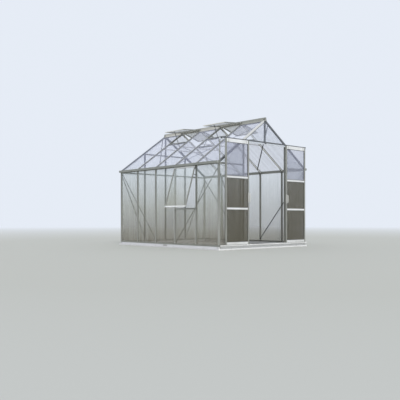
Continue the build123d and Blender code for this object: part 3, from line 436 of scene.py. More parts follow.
def aluminium(name, colour, along, metallic=0.75, painted_tone=None, mask=(), sloping=False, foot=None):
    """Mill-finish aluminium with die lines along its axes, dull clouds and dark brown specks towards its
    foot.

    Painted tone is the colour painted on what lies in the mask: painted light on most pieces, a painted
    shadow line on the track. Foot is the colour of the metal near the ground."""
    graph = paint(name)
    scale = [1.5 if axis in along else 420.0 for axis in "XYZ"]
    lines = graph.noise(scale, 3.0, graph.slope() if sloping else None)
    clouds = graph.noise(5.0, 4.0)
    specks = graph.noise(60.0, 5.0)
    tone = graph.mix(graph.spread(clouds, 0.35, 0.7), shade(colour, 0.86), shade(colour, 1.1))
    if mask:
        tone = graph.mix(graph.mask(*mask), tone, painted_tone)
    if foot:
        tone = graph.mix(graph.mask(("Z", 1.4, 0.3)), tone, foot)
    tone = graph.mix(graph.spread(lines, 0.3, 0.75, 0.0, 0.5), tone, shade(colour, 0.72))
    # Dark brown specks towards the foot
    low = graph.mask(("Z", 0.26, 0.09))
    foot_specks = graph.sum("MULTIPLY", low, graph.spread(specks, 0.5, 0.8, 0.04, 0.45))
    tone = graph.mix(foot_specks, tone, (0.2, 0.18, 0.13, 1.0))
    graph.relief(lines, 0.0002)
    rough = graph.spread(clouds, 0.3, 0.7, 0.34, 0.52)
    return graph.finish(base_color=tone, metallic=metallic, roughness=rough)


def galvanised(name, colour, spangle_scale=130.0, metallic=0.6):
    """Zinc with spangle, dull streaks and splashes of soil low down."""
    graph = paint(name)
    spangle = graph.node("ShaderNodeTexVoronoi", graph.place, feature="F1")
    spangle.inputs["Scale"].default_value = spangle_scale
    grain = graph.node("ShaderNodeSeparateColor", spangle.outputs["Color"]).outputs[0]
    clouds = graph.noise((4.0, 4.0, 9.0), 5.0)
    splashes = graph.noise((70.0, 70.0, 90.0), 6.0)
    tone = graph.mix(grain, shade(colour, 0.92), shade(colour, 1.06))
    tone = graph.mix(graph.spread(clouds, 0.4, 0.8, 0.0, 0.5), tone, shade(colour, 0.87))
    low = graph.mask(("Z", 0.035, 0.0))
    soil = graph.sum("MULTIPLY", low, graph.spread(splashes, 0.5, 0.8, 0.04, 0.5))
    tone = graph.mix(soil, tone, (0.26, 0.22, 0.16, 1.0))
    rough = graph.spread(grain, 0.0, 1.0, 0.38, 0.6)
    return graph.finish(base_color=tone, metallic=metallic, roughness=rough)


def moulded(name, colour, roughness=0.45):
    """Moulded plastic or rubber with a fine grained, slightly dusty skin."""
    graph = paint(name)
    grain = graph.noise(900.0, 2.0)
    clouds = graph.noise(12.0, 3.0)
    tone = graph.mix(graph.spread(clouds, 0.3, 0.7), shade(colour, 0.9), shade(colour, 1.08))
    dust = graph.sum("MULTIPLY", graph.spread(grain, 0.5, 0.8), 0.12)
    tone = graph.mix(dust, tone, (0.55, 0.53, 0.48, 1.0))
    graph.relief(grain, 0.00015)
    return graph.finish(base_color=tone, roughness=roughness)


def hung_roller(name, colour, steel, depth):
    """Nylon wheels whose hanger plates, nearer to the front than a given depth, are bare steel."""
    graph = paint(name)
    plate = graph.mask(("Y", depth + 0.0002, depth))
    grain = graph.noise(900.0, 2.0)
    tone = graph.mix(graph.spread(grain, 0.3, 0.7), shade(colour, 0.85), shade(colour, 1.3))
    tone = graph.mix(plate, tone, graph.mix(grain, shade(steel, 0.8), shade(steel, 1.1)))
    return graph.finish(base_color=tone, metallic=graph.sum("MULTIPLY", plate, 0.7), roughness=0.45)


def brush_fibre(name, colour):
    """Pile of fine level fibres, light and dark in fine streaks."""
    graph = paint(name)
    fibres = graph.noise((2500.0, 30.0, 2500.0), 2.0)
    tone = graph.mix(graph.spread(fibres, 0.3, 0.7), shade(colour, 0.6), shade(colour, 1.5))
    graph.relief(fibres, 0.0004)
    return graph.finish(base_color=tone, roughness=0.85)


def twin_wall(name, pitch, across, tones, low, high, haze=(0.9, 0.93, 0.97, 1.0), damp=0.2):
    """Twin-wall sheet with ribs across one axis; each tone's alpha is what one face stops.

    The tones follow each other between two heights. Haze is the colour of the streaks that damp leaves
    inside the flutes, and damp is how much they cover."""
    graph = paint(name)
    cell = graph.sum("FRACT", graph.sum("DIVIDE", graph.axis(across), pitch))
    from_middle = graph.sum("ABSOLUTE", graph.sum("SUBTRACT", cell, 0.5))
    rib = graph.spread(from_middle, 0.38, 0.47)
    streaks = graph.noise([32.0 if axis == across else 0.35 for axis in "XYZ"], 3.0)
    clouds = graph.noise((1.3, 1.3, 1.0), 3.0)
    height = graph.sum("ADD", graph.mask(("Z", low, high)), graph.spread(clouds, 0.3, 0.7, -0.05, 0.05))
    ramp = graph.ramp(height, tones)
    tone = graph.mix(graph.spread(streaks, 0.35, 0.7, 0.0, damp), ramp.outputs["Color"], haze)
    tone = graph.mix(graph.sum("MULTIPLY", rib, 1.5 * damp), tone, haze)
    cover = graph.sum("ADD", ramp.outputs["Alpha"], graph.spread(streaks, 0.3, 0.7, -0.05, 0.05))
    cover = graph.sum("ADD", cover, graph.sum("MULTIPLY", rib, 0.18))
    graph.relief(graph.sum("ADD", rib, streaks), 0.0003)
    return graph.finish(base_color=tone, roughness=0.28, alpha=cover)


def dress(material, *nodes):
    """Gives CAD nodes a material."""
    for node in nodes:
        slots = NODES[node].data.materials
        for number in range(len(slots)):
            slots[number] = material
        if not slots:
            slots.append(material)


# Settings
def tint(name, description, red, green, blue, alpha=1.0):
    """A colour property."""
    return bpy.props.FloatVectorProperty(
        name=name, description=description, default=(red, green, blue, alpha), subtype="COLOR", size=4,
        min=0.0, max=1.0,
    )


def measure(name, description, default):
    """A length property in metres."""
    return bpy.props.FloatProperty(
        name=name, description=description, default=default, min=0.0005, subtype="DISTANCE", unit="LENGTH"
    )


class MetalSettings(bpy.types.PropertyGroup):
    """Colours of the metal and plastic pieces."""

    bars: tint("Bars", "Mill-finish aluminium of posts, vents' sides and gutters", 0.34, 0.345, 0.31)
    rafters: tint("Rafters", "Aluminium of the left slope's rafters", 0.36, 0.365, 0.34)
    # Painted light: the right slope's rafters made nearly as pale as the sheets that light them
    sky_lit_rafters: tint("Inner rafters", "Aluminium of the right slope's rafters", 0.95, 0.95, 0.92)
    # The uprights are paler towards the ground
    pale_bar_feet: tint("Pale bar feet", "Uprights near the ground", 0.52, 0.515, 0.47)
    # On the verge this dark tone is painted shade, and on the track's top it paints a shadow line
    dark_bars: tint("Dark bars", "Aluminium of the ridge post and the shaded verge", 0.2, 0.21, 0.22)
    # Painted highlight: the pale tone put on metal where it catches the sky
    highlight_bars: tint("Bright bars", "Aluminium that catches the sky", 0.9, 0.89, 0.85)
    # Painted light: the leaves' level rails, the doors' guide and the side vents' rails are far paler than
    # the stiles
    rails: tint("Door rails", "Bright aluminium of the leaves' level rails", 0.95, 0.95, 0.93)
    track: tint("Track", "Aluminium of the doors' track", 0.84, 0.87, 0.92)
    # Painted light on the roof vents' rails, which hang in shade
    vent_rails: tint("Vent rails", "Aluminium of the roof vents' rails", 0.8, 0.79, 0.72)
    # Painted light: the flashings past the first bay are paler than the first bay's
    flashings: tint("Flashings", "Aluminium of the ridge flashings", 0.54, 0.53, 0.485)
    stiles: tint("Door stiles", "Aluminium of the leaves' upright stiles", 0.4, 0.4, 0.36)
    steel: tint("Base", "Galvanised steel of the ground frame's sides", 0.72, 0.72, 0.74)
    # Painted light: the base's ends are made far paler than its sides, against the guide's shade
    front_steel: tint("Front base", "Galvanised steel of the ground frame's ends", 0.95, 0.95, 0.95)
    straps: tint("Braces", "Galvanised flat bar of braces and cleats", 0.1, 0.1, 0.1)
    fixings: tint("Fixings", "Zinc-plated bolts, nuts and screws", 0.5, 0.5, 0.48)
    caps: tint("Caps", "Moulded end caps of gutters and ridge", 0.3, 0.31, 0.29)
    rollers: tint("Rollers", "Nylon wheels of the doors", 0.05, 0.05, 0.05)
    rubber: tint("Seals", "Rubber of seals, gaskets and stops", 0.045, 0.045, 0.045)
    pile: tint("Pile", "Fibres of the doors' brush seals", 0.09, 0.09, 0.09)
    handles: tint("Handles", "Moulded door pulls", 0.6, 0.6, 0.57)


class SheetSettings(bpy.types.PropertyGroup):
    """Flutes and colours of the twin-wall sheets; a colour's alpha is what one face stops."""

    flute_pitch: measure("Flute pitch", "From rib to rib inside a sheet", 0.0105)
    # Painted shade and light: over the sheets' own tint, the wall tones darken towards the sill and pale
    # towards the eave
    wall_foot: tint("Wall foot", "Wall sheets at the sill", 0.17, 0.14, 0.08, 0.4)
    wall_middle: tint("Wall middle", "Wall sheets half way up", 0.32, 0.33, 0.245, 0.29)
    wall_head: tint("Wall head", "Wall sheets below the eave", 0.60, 0.68, 0.70, 0.18)
    gable_head: tint("Gable head", "Gable sheets above the eave", 0.62, 0.67, 0.84, 0.13)
    roof: tint("Roof", "Sheets of the roof", 0.50, 0.53, 0.72, 0.15)
    # Painted shade: the vents' sheets are greyer and more opaque than the roof's, for their shaded
    # undersides
    roof_vents: tint("Roof vents", "Sheets of the roof vents", 0.46, 0.46, 0.43, 0.36)
    # Painted shade and light: over one sheet's own tint, the leaves' sheets are dark below the top rail and
    # pale in the top pane
    door_foot: tint("Door foot", "Lower and middle sheets of the leaves", 0.1, 0.09, 0.062, 0.62)
    door_haze: tint("Door haze", "Streaks in the leaves' sheets", 0.6, 0.58, 0.46)
    door_head: tint("Door head", "Top sheets of the leaves", 0.40, 0.42, 0.55, 0.28)


class FittingSettings(bpy.types.PropertyGroup):
    """Sizes of the bolts, screws, seals and plates."""

    bolt: measure("Bolt", "From the middle to a corner of a nut", 0.0075)
    washer: measure("Washer", "Radius of a washer", 0.0095)
    screw: measure("Screw", "Radius of a screw head", 0.0045)
    seal: measure("Seal", "Width of the rubber strip along a glazing bar", 0.0035)
    flashing: measure("Flashing", "Width of a ridge flashing down the slope", 0.05)
    verge_seal: measure("Verge seal", "Width of the rubber strip round a gable sheet", 0.009)
    gasket: measure("Gasket", "Width of the gasket round a door pane", 0.006)
    pile: measure("Pile", "How far the brush stands out of its holder", 0.013)
    tuft: measure("Tuft", "From tuft to tuft along a brush", 0.006)
    closure: measure("Closure", "How far the closure strip reaches up a roof sheet", 0.02)


class StageSettings(bpy.types.PropertyGroup):
    """Where the camera stands and what surrounds the greenhouse."""

    camera_place: bpy.props.FloatVectorProperty(
        name="Camera place", description="Where the camera stands", default=(-8.642, -7.688, 0.585),
        subtype="TRANSLATION", unit="LENGTH",
    )
    camera_heading: bpy.props.FloatProperty(
        name="Heading", description="Turn of the level camera from +Y towards +X", default=radians(41.94),
        subtype="ANGLE",
    )
    camera_lens: bpy.props.FloatProperty(
        name="Lens", description="Focal length on a 36 mm sensor", default=52.29, min=1.0, unit="CAMERA"
    )
    camera_shift: bpy.props.FloatProperty(
        name="Shift", description="Rise of the view, as a share of its width", default=0.0461
    )
    key_strength: bpy.props.FloatProperty(
        name="Key", description="Strength of the soft light from the upper left", default=2.0, min=0.0
    )
    floor: tint("Floor", "Plain floor", 0.5, 0.51, 0.48)
    backdrop: tint("Backdrop", "Pale sky behind the greenhouse", 0.79, 0.84, 0.92)


# Operators
def chosen(context):
    """The settings of the metal and of the fittings."""
    return context.scene.greenhouse_metal, context.scene.greenhouse_fittings


class GREENHOUSE_OT_frame_metal(bpy.types.Operator):
    """Gives the bars, braces and base their metals"""

    bl_idname = "greenhouse.frame_metal"
    bl_label = "Frame Metal"

    def execute(self, context):
        metal = context.scene.greenhouse_metal
        bars, dark, highlight = metal.bars, metal.dark_bars, metal.highlight_bars
        # Uprights paler towards the ground
        dress(aluminium("upright_aluminium", bars, "Z", foot=metal.pale_bar_feet),
              "corner_posts", "wall_bars", "door_posts", "track_struts")
        dress(aluminium("dark_upright_aluminium", dark, "Z"), "back_posts", "front_ridge_post")
        dress(aluminium("length_aluminium", bars, "Y"),
              "left_gutter", "right_gutter", "side_sills", "roof_vent_sills", "side_vent_sill")
        # Painted light on the ridge beam below its cap, past the first bay
        dress(aluminium("ridge_aluminium", bars, "Y", 0.3, highlight, BELOW_RIDGE_CAP), "ridge_beam")
        # Painted light on the roof vents' rails
        dress(aluminium("roof_vent_aluminium", metal.vent_rails, "Y", 0.1), "roof_vent_rails")
        # Painted light on the side vents' rails
        dress(aluminium("vent_rail_aluminium", metal.rails, "Y", 0.4), "side_vent_rails")
        dress(aluminium("cross_aluminium", bars, "X"),
              "end_sills", "door_header", "gable_rails", "back_rails")
        # Painted light on the doors' guide
        dress(aluminium("guide_aluminium", metal.rails, "X", 0.2), "door_guide")
        # A painted shadow line in the dark tone along the track's top
        dress(aluminium("track_aluminium", metal.track, "X", 0.2, dark, TRACK_TOP_SHADOW), "door_track")
        # Painted light on the right slope's rafters
        dress(aluminium("slope_aluminium", metal.rafters, "X", 0.1, metal.sky_lit_rafters,
                             RIGHT_SLOPE, True), "rafters")
        dress(aluminium("vent_side_aluminium", bars, "XZ"), "roof_vent_stiles")
        dress(aluminium("vent_stile_aluminium", metal.stiles, "XZ"), "side_vent_stiles")
        # Painted highlight on the front-left gable rafter; the dark tone on the rest of the verge is
        # painted shade
        dress(aluminium("verge_aluminium", dark, "X", 0.5, highlight, FRONT_LEFT, True),
              "gable_rafters")
        dress(galvanised("base_zinc", metal.steel, metallic=0.25), "side_base_rails")
        # Painted light on the base's ends
        dress(galvanised("end_base_zinc", metal.front_steel, metallic=0.1), "end_base_rails")
        dress(galvanised("tie_zinc", metal.steel, metallic=0.3), "collar_ties")
        dress(galvanised("brace_zinc", metal.straps),
              "wall_braces", "gable_braces", "roof_braces", "eave_cleats", "ridge_cleats",
              "roof_vent_stays", "side_vent_arms")
        dress(moulded("cap_plastic", metal.caps), "gutter_end_caps", "ridge_end_caps")
        return {"FINISHED"}


class GREENHOUSE_OT_wall_sheets(bpy.types.Operator):
    """Gives the sheets of walls, gables and roof their twin-wall finish"""

    bl_idname = "greenhouse.wall_sheets"
    bl_label = "Wall and Roof Sheets"

    def execute(self, context):
        sheets = context.scene.greenhouse_sheets
        # The height tones paint shade low on the walls and gables and sky light towards their heads
        heights = wall_low.z, wall_low.z + (wall_high.z - wall_low.z) * 3 / 2
        walls = (sheets.wall_foot, sheets.wall_middle, sheets.wall_head, sheets.gable_head)
        for name, across, tones, nodes in (
            ("side_sheet", "Y", walls, ("left_wall_sheets", "right_wall_sheets", "side_vent_sheet")),
            ("gable_sheet", "X", walls, ("back_gable_sheets", "front_gable_sheets")),
            ("roof_sheet", "Y", (sheets.roof, sheets.roof), ("left_roof_sheets", "right_roof_sheets")),
            # Painted shade on the vents' sheets
            ("vent_sheet", "Y", (sheets.roof_vents, sheets.roof_vents), ("roof_vent_sheets",)),
        ):
            dress(twin_wall(name, sheets.flute_pitch, across, tones, *heights), *nodes)
        return {"FINISHED"}


class GREENHOUSE_OT_doors(bpy.types.Operator):
    """Gives the sliding leaves their metals, sheets and plastics"""

    bl_idname = "greenhouse.doors"
    bl_label = "Sliding Doors"

    def execute(self, context):
        metal = context.scene.greenhouse_metal
        sheets = context.scene.greenhouse_sheets
        plate_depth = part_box("left_door_stiles")[1].y + 0.0035
        # Painted shade on the lower panes and painted sky light on the top pane
        tones = (sheets.door_foot, sheets.door_head)
        for part, material in (
            ("stiles", aluminium("door_stile_aluminium", metal.stiles, "Z")),
            # Painted light on the level rails
            ("rails", aluminium("door_rail_aluminium", metal.rails, "X", 0.3)),
            ("sheets", twin_wall("door_sheet", sheets.flute_pitch, "X", tones, 1.37, 1.40,
                                 sheets.door_haze, 0.08)),
            ("skids", moulded("skid_nylon", metal.rollers)),
            ("rollers", hung_roller("roller_nylon", metal.rollers, metal.fixings, plate_depth)),
            ("handle", moulded("handle_plastic", metal.handles)),
        ):
            dress(material, f"left_door_{part}", f"right_door_{part}")
        return {"FINISHED"}


class GREENHOUSE_OT_frame_bolts(bpy.types.Operator):
    """Bolts the braces, ties and cleats to the bars"""

    bl_idname = "greenhouse.frame_bolts"
    bl_label = "Frame Bolts"

    def execute(self, context):
        metal, sizes = chosen(context)
        brace_start = 0.020955
        bar_share = (bay_lines[0] - brace_start) / (bay_lines[1] - brace_start)
        places = []
        for node in ("wall_braces", "roof_braces", "gable_braces"):
            for points in solids_of(node):
                upper, lower = ends_of(points)
                side = 1.0 if upper.x > 0.0 else -1.0
                out = {
                    "wall_braces": side * RIGHT,
                    "roof_braces": roof_out(side),
                    "gable_braces": -BACK if upper.y < bay else BACK,
                }[node]
                inward = (lower - upper).normalized() * sizes.washer * 0.6
                spots = [upper + inward, lower - inward]
                if node != "gable_braces":
                    spots.append(upper.lerp(lower, bar_share))
                places += [on(node, spot - out * NEAR, out, turn) for turn, spot in enumerate(spots)]

        wall_hole, roof_hole, tie_hole = 0.014, 0.012, 0.024  # from the end of a cleat or a tie
        for low, high in boxes_of("eave_cleats"):
            side = 1.0 if low.x > 0.0 else -1.0
            middle = (low.y + high.y) / 2
            inner = low.x if side > 0.0 else high.x
            out = roof_out(side)
            places.append(on("eave_cleats", (0.0, middle, low.z + wall_hole), side * RIGHT, 0.4))
            spot = Vector((inner + side * roof_hole, middle, high.z - roof_hole))
            places.append(on("eave_cleats", spot - out * OFF, out, 0.9))
        for low, high in boxes_of("ridge_cleats"):
            for x in (low.x + wall_hole, high.x - wall_hole):
                places.append(on("ridge_cleats", (x, (low.y + high.y) / 2, low.z - OFF), UP, 0.3))
        for low, high in boxes_of("collar_ties"):
            for x in (low.x + tie_hole, high.x - tie_hole):
                places.append(on("collar_ties", (x, high.y + OFF, (low.z + high.z) / 2), -BACK, 0.7))

        post_line, lower_rail, upper_rail, bar_foot = 0.610235, 1.608, 2.069, 0.112
        for x, z in ((-post_line, lower_rail), (-post_line, upper_rail), (0.0, lower_rail),
                     (post_line, lower_rail), (post_line, upper_rail)):
            places.append(on("back_posts", (x, length - AWAY, z), BACK, 1.1))
        for side in SIDES:
            for line in bay_lines:
                if abs(line - length / 2) > bay:
                    places.append(on("wall_bars", (side * 1.1, line, bar_foot), side * RIGHT, 0.5))
        zinc = galvanised("bolt_zinc", metal.fixings, 600.0)
        bolts = repeat(hexagon_fixing(sizes.bolt, sizes.washer), places, "frame_bolts")
        settle(bolts, HOUSE, zinc)
        return {"FINISHED"}


class GREENHOUSE_OT_base_fixings(bpy.types.Operator):
    """Joins the base rails with splice plates, corner bolts and ground anchors"""

    bl_idname = "greenhouse.base_fixings"
    bl_label = "Base Fixings"

    def execute(self, context):
        metal, sizes = chosen(context)
        zinc = galvanised("splice_zinc", metal.fixings, COARSE)
        middle = length / 2
        line = 0.044  # height of the bolts
        reach, foot, head, gauge = 0.06, 0.028, 0.06, 0.002  # of a splice plate
        side_flange, end_flange, end_anchor = 1.284, 0.013, 0.95
        plates = []
        places = []
        for side in SIDES:
            out = side * RIGHT
            beside = side * 1.6
            face, _ = met_by("side_base_rails", (beside, middle, line), -out)
            inner, outer = sorted((face.x, face.x + side * gauge))
            low, high = (inner, middle - reach, foot), (outer, middle + reach, head)
            plates.append(rounded_plate(low, high, out, 0.005))
            for step in (-0.045, -0.018, 0.018, 0.045):
                places.append(on("side_base_rails", (beside, middle + step, line), -out, step * 90, gauge))
            for y in (0.022, 0.052, length - 0.052, length - 0.022):
                places.append(on("side_base_rails", (beside, y, line), -out, y * 9))
            for y in (0.4, 1.3, 1.87, 2.77):
                places.append(on("side_base_rails", (side * side_flange, y, AWAY), -UP, y * 5))
            for start, way in GABLES:
                spot = (side * end_anchor, start + way.y * (AWAY - end_flange), AWAY)
                places.append(on("end_base_rails", spot, -UP, end_anchor * 5))
            for x in (1.22, 1.25):
                for start, way in GABLES:
                    places.append(on("end_base_rails", (side * x, start, line), way, x * 9))
        settle(join(plates, "base_splices"), HOUSE, zinc)
        bolts = repeat(hexagon_fixing(sizes.bolt, sizes.washer), places, "base_bolts")
        settle(bolts, HOUSE, zinc)
        return {"FINISHED"}


class GREENHOUSE_OT_glazing_seals(bpy.types.Operator):
    """Runs rubber strips along the glazing bars, against the sheets"""

    bl_idname = "greenhouse.glazing_seals"
    bl_label = "Glazing Seals"

    def execute(self, context):
        metal, sizes = chosen(context)
        rubber = moulded("seal_rubber", metal.rubber, 0.6)
        front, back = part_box("front_gable_sheets")[0].y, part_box("back_gable_sheets")[1].y
        self.walls(sizes.seal, rubber, front, back)
        self.roof(sizes.seal, rubber)
        self.verge(sizes.verge_seal, rubber, (front - STRIP, back))
        return {"FINISHED"}

    def walls(self, width, rubber, front, back):
        """Strips beside the uprights of walls and gables."""
        model = strip((-STRIP, 0.0, 0.0), (0.0, width, 1.0), UP, "seal")
        skin = -wall_low.x
        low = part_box("wall_bars")[0].z + 0.002
        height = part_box("wall_bars")[1].z - 0.002 - low
        below_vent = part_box("side_vent_sill")[0].z - low
        bars = boxes_of("wall_bars", True)
        posts = boxes_of("corner_posts", True)
        places = []
        for start in (posts[0][1].y, *(bar[0].y - width for bar in bars), *(bar[1].y for bar in bars),
                      posts[1][0].y - width):
            beside_vent = bay_lines[0] < start + width / 2 < bay_lines[1]
            places.append(laid((-skin, start, low), z=below_vent if beside_vent else height))
            places.append(laid((skin, start + width, low), about_z(radians(180)), z=height))
        corner = posts[0][1].x
        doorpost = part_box("door_posts")[1].x
        for x in (corner, -doorpost - width, doorpost, -corner - width):
            places.append(laid((x + width, front, low), about_z(radians(90)), z=height))
        edges = [corner, -corner - width]
        for bar in boxes_of("back_posts"):
            edges += [bar[0].x - width, bar[1].x]
        for x in edges:
            places.append(laid((x, back, low), about_z(radians(-90)), z=height))
        settle(repeat(model, places, "glazing_seals"), HOUSE, rubber)

    def roof(self, width, rubber):
        """Strips along the rafters, up to the ridge or to the sill of a vent."""
        model = strip((0.0, 0.0, 0.0), (1.0, width, STRIP), RIGHT, "roof_seal")
        sills = boxes_of("roof_vent_sills", True)
        at_ridge, at_sill, at_eave, beside = -0.034, 0.004, 0.002, 0.02
        places = []
        for low, high in boxes_of("rafters", True):
            for start in (low.y - width, high.y):
                tops = [sill.x - at_sill for sill, end in sills if sill.y - beside < start < end.y + beside]
                top = tops[0] if tops else at_ridge
                spot = (-half_width + at_eave, start + width / 2, OVERHEAD)
                foot, _ = met_by("left_roof_sheets", spot, -UP)
                places += both(laid((foot.x, start, foot.z), CLIMB, x=(top - foot.x) / slope_out.z))
        settle(repeat(model, places, "roof_seals"), HOUSE, rubber)

    def verge(self, width, rubber, skins):
        """Strips round the gable sheets: under the gable rafters and on the doors' track."""
        model = strip((0.0, 0.0, -width), (1.0, STRIP, 0.0), RIGHT, "verge_seal")
        corner = boxes_of("corner_posts")[0][1].x
        post_low, post_high = boxes_of("door_posts")[0]
        places = []
        for skin in skins:
            inside = min(max(skin, 0.015), length - 0.015)
            for start, end in ((corner + 0.004, post_low.x - 0.002), (post_high.x + 0.006, -0.018)):
                foot, _ = met_by("gable_rafters", (start, inside, 0.0), UP)
                places += both(laid((start, skin, foot.z), CLIMB, x=(end - start) / slope_out.z))
        inner, outer = 0.019, 0.56  # along the track, on each side of the ridge post
        for start in (-outer, inner):
            place = (start, skins[0], track_high.z + width + 0.0002)
            places.append(laid(place, x=outer - inner))
        settle(repeat(model, places, "verge_seals"), HOUSE, rubber)


class GREENHOUSE_OT_roof_closures(bpy.types.Operator):
    """Closes the lower edges of the roof sheets with channels and screws the end caps on"""

    bl_idname = "greenhouse.roof_closures"
    bl_label = "Roof Closures"

    def execute(self, context):
        metal, sizes = chosen(context)
        low = boxes_of("left_roof_sheets")[0][0]
        edge = Vector((low.x - slope_out.x * thickness / 2, 0.0, low.z + slope_out.z * thickness / 2))
        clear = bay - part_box("rafters")[0].y + 0.002
        wall, web = 0.0012, 0.001
        half = thickness / 2 + wall
        block((-sizes.closure, clear, -half), (0.0015, bay - clear, half))
        pick_faces(-RIGHT)
        inset(wall)
        pull(sizes.closure - web, 0.0, 0.0)
        model = soften(BACK, 0.0004, "closure")
        tilt = RIGHT.rotation_difference(slope_down).to_matrix().to_4x4()
        places = []
        for number in range(len(bay_lines) + 1):
            places += both(Matrix.Translation(edge + BACK * bay * number) @ tilt)
        closures = repeat(model, places, "roof_closures")
        settle(closures, HOUSE, aluminium("closure_aluminium", metal.bars, "Y"))

        places = []
        for start, way in GABLES:
            for node, z, spots in (("ridge_end_caps", 2.53, (-0.018, 0.018)),
                                   ("gutter_end_caps", 1.612, (-1.306, -1.28, 1.28, 1.306))):
                places += [on(node, (x, start, z), way) for x in spots]
        screws = repeat(pan_screw(sizes.screw * 0.7), places, "cap_screws")
        settle(screws, HOUSE, galvanised("screw_zinc", metal.fixings, FINE))
        return {"FINISHED"}


class GREENHOUSE_OT_ridge_flashings(bpy.types.Operator):
    """Folds aluminium flashings over the sheets' upper ends, in the bays that have no roof vent"""

    bl_idname = "greenhouse.ridge_flashings"
    bl_label = "Ridge Flashings"

    def execute(self, context):
        metal, sizes = chosen(context)
        gauge = sizes.closure / 10
        rafters = [low for low, _ in boxes_of("rafters", True)]
        gables = [low for low, _ in boxes_of("gable_rafters", True)]
        flange = 2 * (bay - rafters[0].y)
        clear = sizes.seal + 0.001
        cap, _ = met_by("ridge_beam", (-AWAY, length / 2, ridge_top - 0.01), RIGHT)
        face = cap.x - 0.0003
        strips = []
        screws = []
        for start, end in ((gables[0], rafters[0]), (rafters[1], rafters[2]), (rafters[3], gables[1])):
            low, high = start.y + flange + clear, end.y - clear
            foot, _ = met_by("left_roof_sheets", (face - gauge / 2, (low + high) / 2, OVERHEAD), -UP)
            base = foot.z + 0.0006
            top = base + gauge / slope_out.z
            block((face - gauge, low, base), (face, high, top))
            pick_faces(-RIGHT)
            pull(*(slope_down * sizes.flashing))
            pick_faces(UP)
            pull(0.0, 0.0, cap.z - 0.002 - base)
            strips.append(soften(BACK, gauge * 0.3, "flashing"))
            for share in (0.12, 0.5, 0.88):
                spot = Vector((face - gauge, low + (high - low) * share, top))
                screws.append(facing(spot + slope_down * sizes.flashing * 0.6, slope_out))
        strips = repeat(join(strips, "flashings"), both(Matrix()), "ridge_flashings")
        # The flashings past the first bay get a painted light tone
        settle(strips, HOUSE,
               aluminium("flashing_aluminium", metal.bars, "Y", 0.1, metal.flashings, PAST_FIRST_BAY))
        screws += [HALF_TURN @ place for place in screws]
        settle(repeat(pan_screw(sizes.screw), screws, "flashing_screws"), HOUSE,
               galvanised("flashing_zinc", metal.fixings, FINE))
        return {"FINISHED"}


class GREENHOUSE_OT_vent_fixings(bpy.types.Operator):
    """Screws the vents' corners and bolts their stays and arms"""

    bl_idname = "greenhouse.vent_fixings"
    bl_label = "Vent Fixings"

    def execute(self, context):
        metal, sizes = chosen(context)
        side_corner, roof_corner, arm_root, arm_tip = 0.022, 0.018, 0.008, 0.012  # holes, from the ends
        places = []
        for low, high in boxes_of("side_vent_stiles"):
            middle = (low.y + high.y) / 2
            for z in (low.z + side_corner, (low.z + high.z) / 2, high.z - side_corner):
                places.append(on("side_vent_stiles", (low.x - AWAY, middle, z), RIGHT, z))
        for low, high in boxes_of("roof_vent_stiles"):
            middle = (low.y + high.y) / 2
            for x in (low.x + roof_corner, (low.x + high.x) / 2, high.x - roof_corner):
                places.append(on("roof_vent_stiles", (x, middle, high.z + AWAY), -UP, x))
        zinc = galvanised("vent_screw_zinc", metal.fixings, FINE)
        settle(repeat(pan_screw(sizes.screw), places, "vent_screws"), HOUSE, zinc)

        spots = []
        for points in solids_of("roof_vent_stays"):
            head, foot = ends_of(points)
            spots += [("roof_vent_stays", head.lerp(foot, share), share) for share in (0.05, 0.74)]
        for low, high in boxes_of("side_vent_arms"):
            for x in (low.x + arm_root, high.x - arm_tip):
                spots.append(("side_vent_arms", Vector((x, (low.y + high.y) / 2, (low.z + high.z) / 2)), x))
        places = []
        for node, spot, turn in spots:
            places += [on(node, spot - way * NEAR, way, turn) for way in (-BACK, BACK)]
        fixing = hexagon_fixing(sizes.bolt * 0.75, sizes.washer * 0.7)
        settle(repeat(fixing, places, "stay_bolts"), HOUSE, zinc)
        return {"FINISHED"}


class GREENHOUSE_OT_track_stops(bpy.types.Operator):
    """Puts rubber stops in the track, at its ends and in the middle"""

    bl_idname = "greenhouse.track_stops"
    bl_label = "Track Stops"

    def execute(self, context):
        half, play, height, corner, from_end = 0.011, 0.0045, 0.031, 0.003, 0.045
        block((-half, track_low.y + play, track_low.z + play),
              (half, track_high.y - 0.004, track_low.z + height))
        pick_edges(BACK)
        bevel(corner, 3)
        pick_faces(RIGHT, -RIGHT)
        inset(corner)
        bpy.ops.mesh.extrude_faces_move(TRANSFORM_OT_shrink_fatten={"value": corner})
        spots = (track_low.x + from_end, 0.0, track_high.x - from_end)
        places = [Matrix.Translation((x, 0.0, 0.0)) for x in spots]
        stops = repeat(finish("stop"), places, "track_stops")
        rubber = moulded("stop_rubber", context.scene.greenhouse_metal.rubber, 0.7)
        settle(stops, HOUSE, rubber)
        return {"FINISHED"}


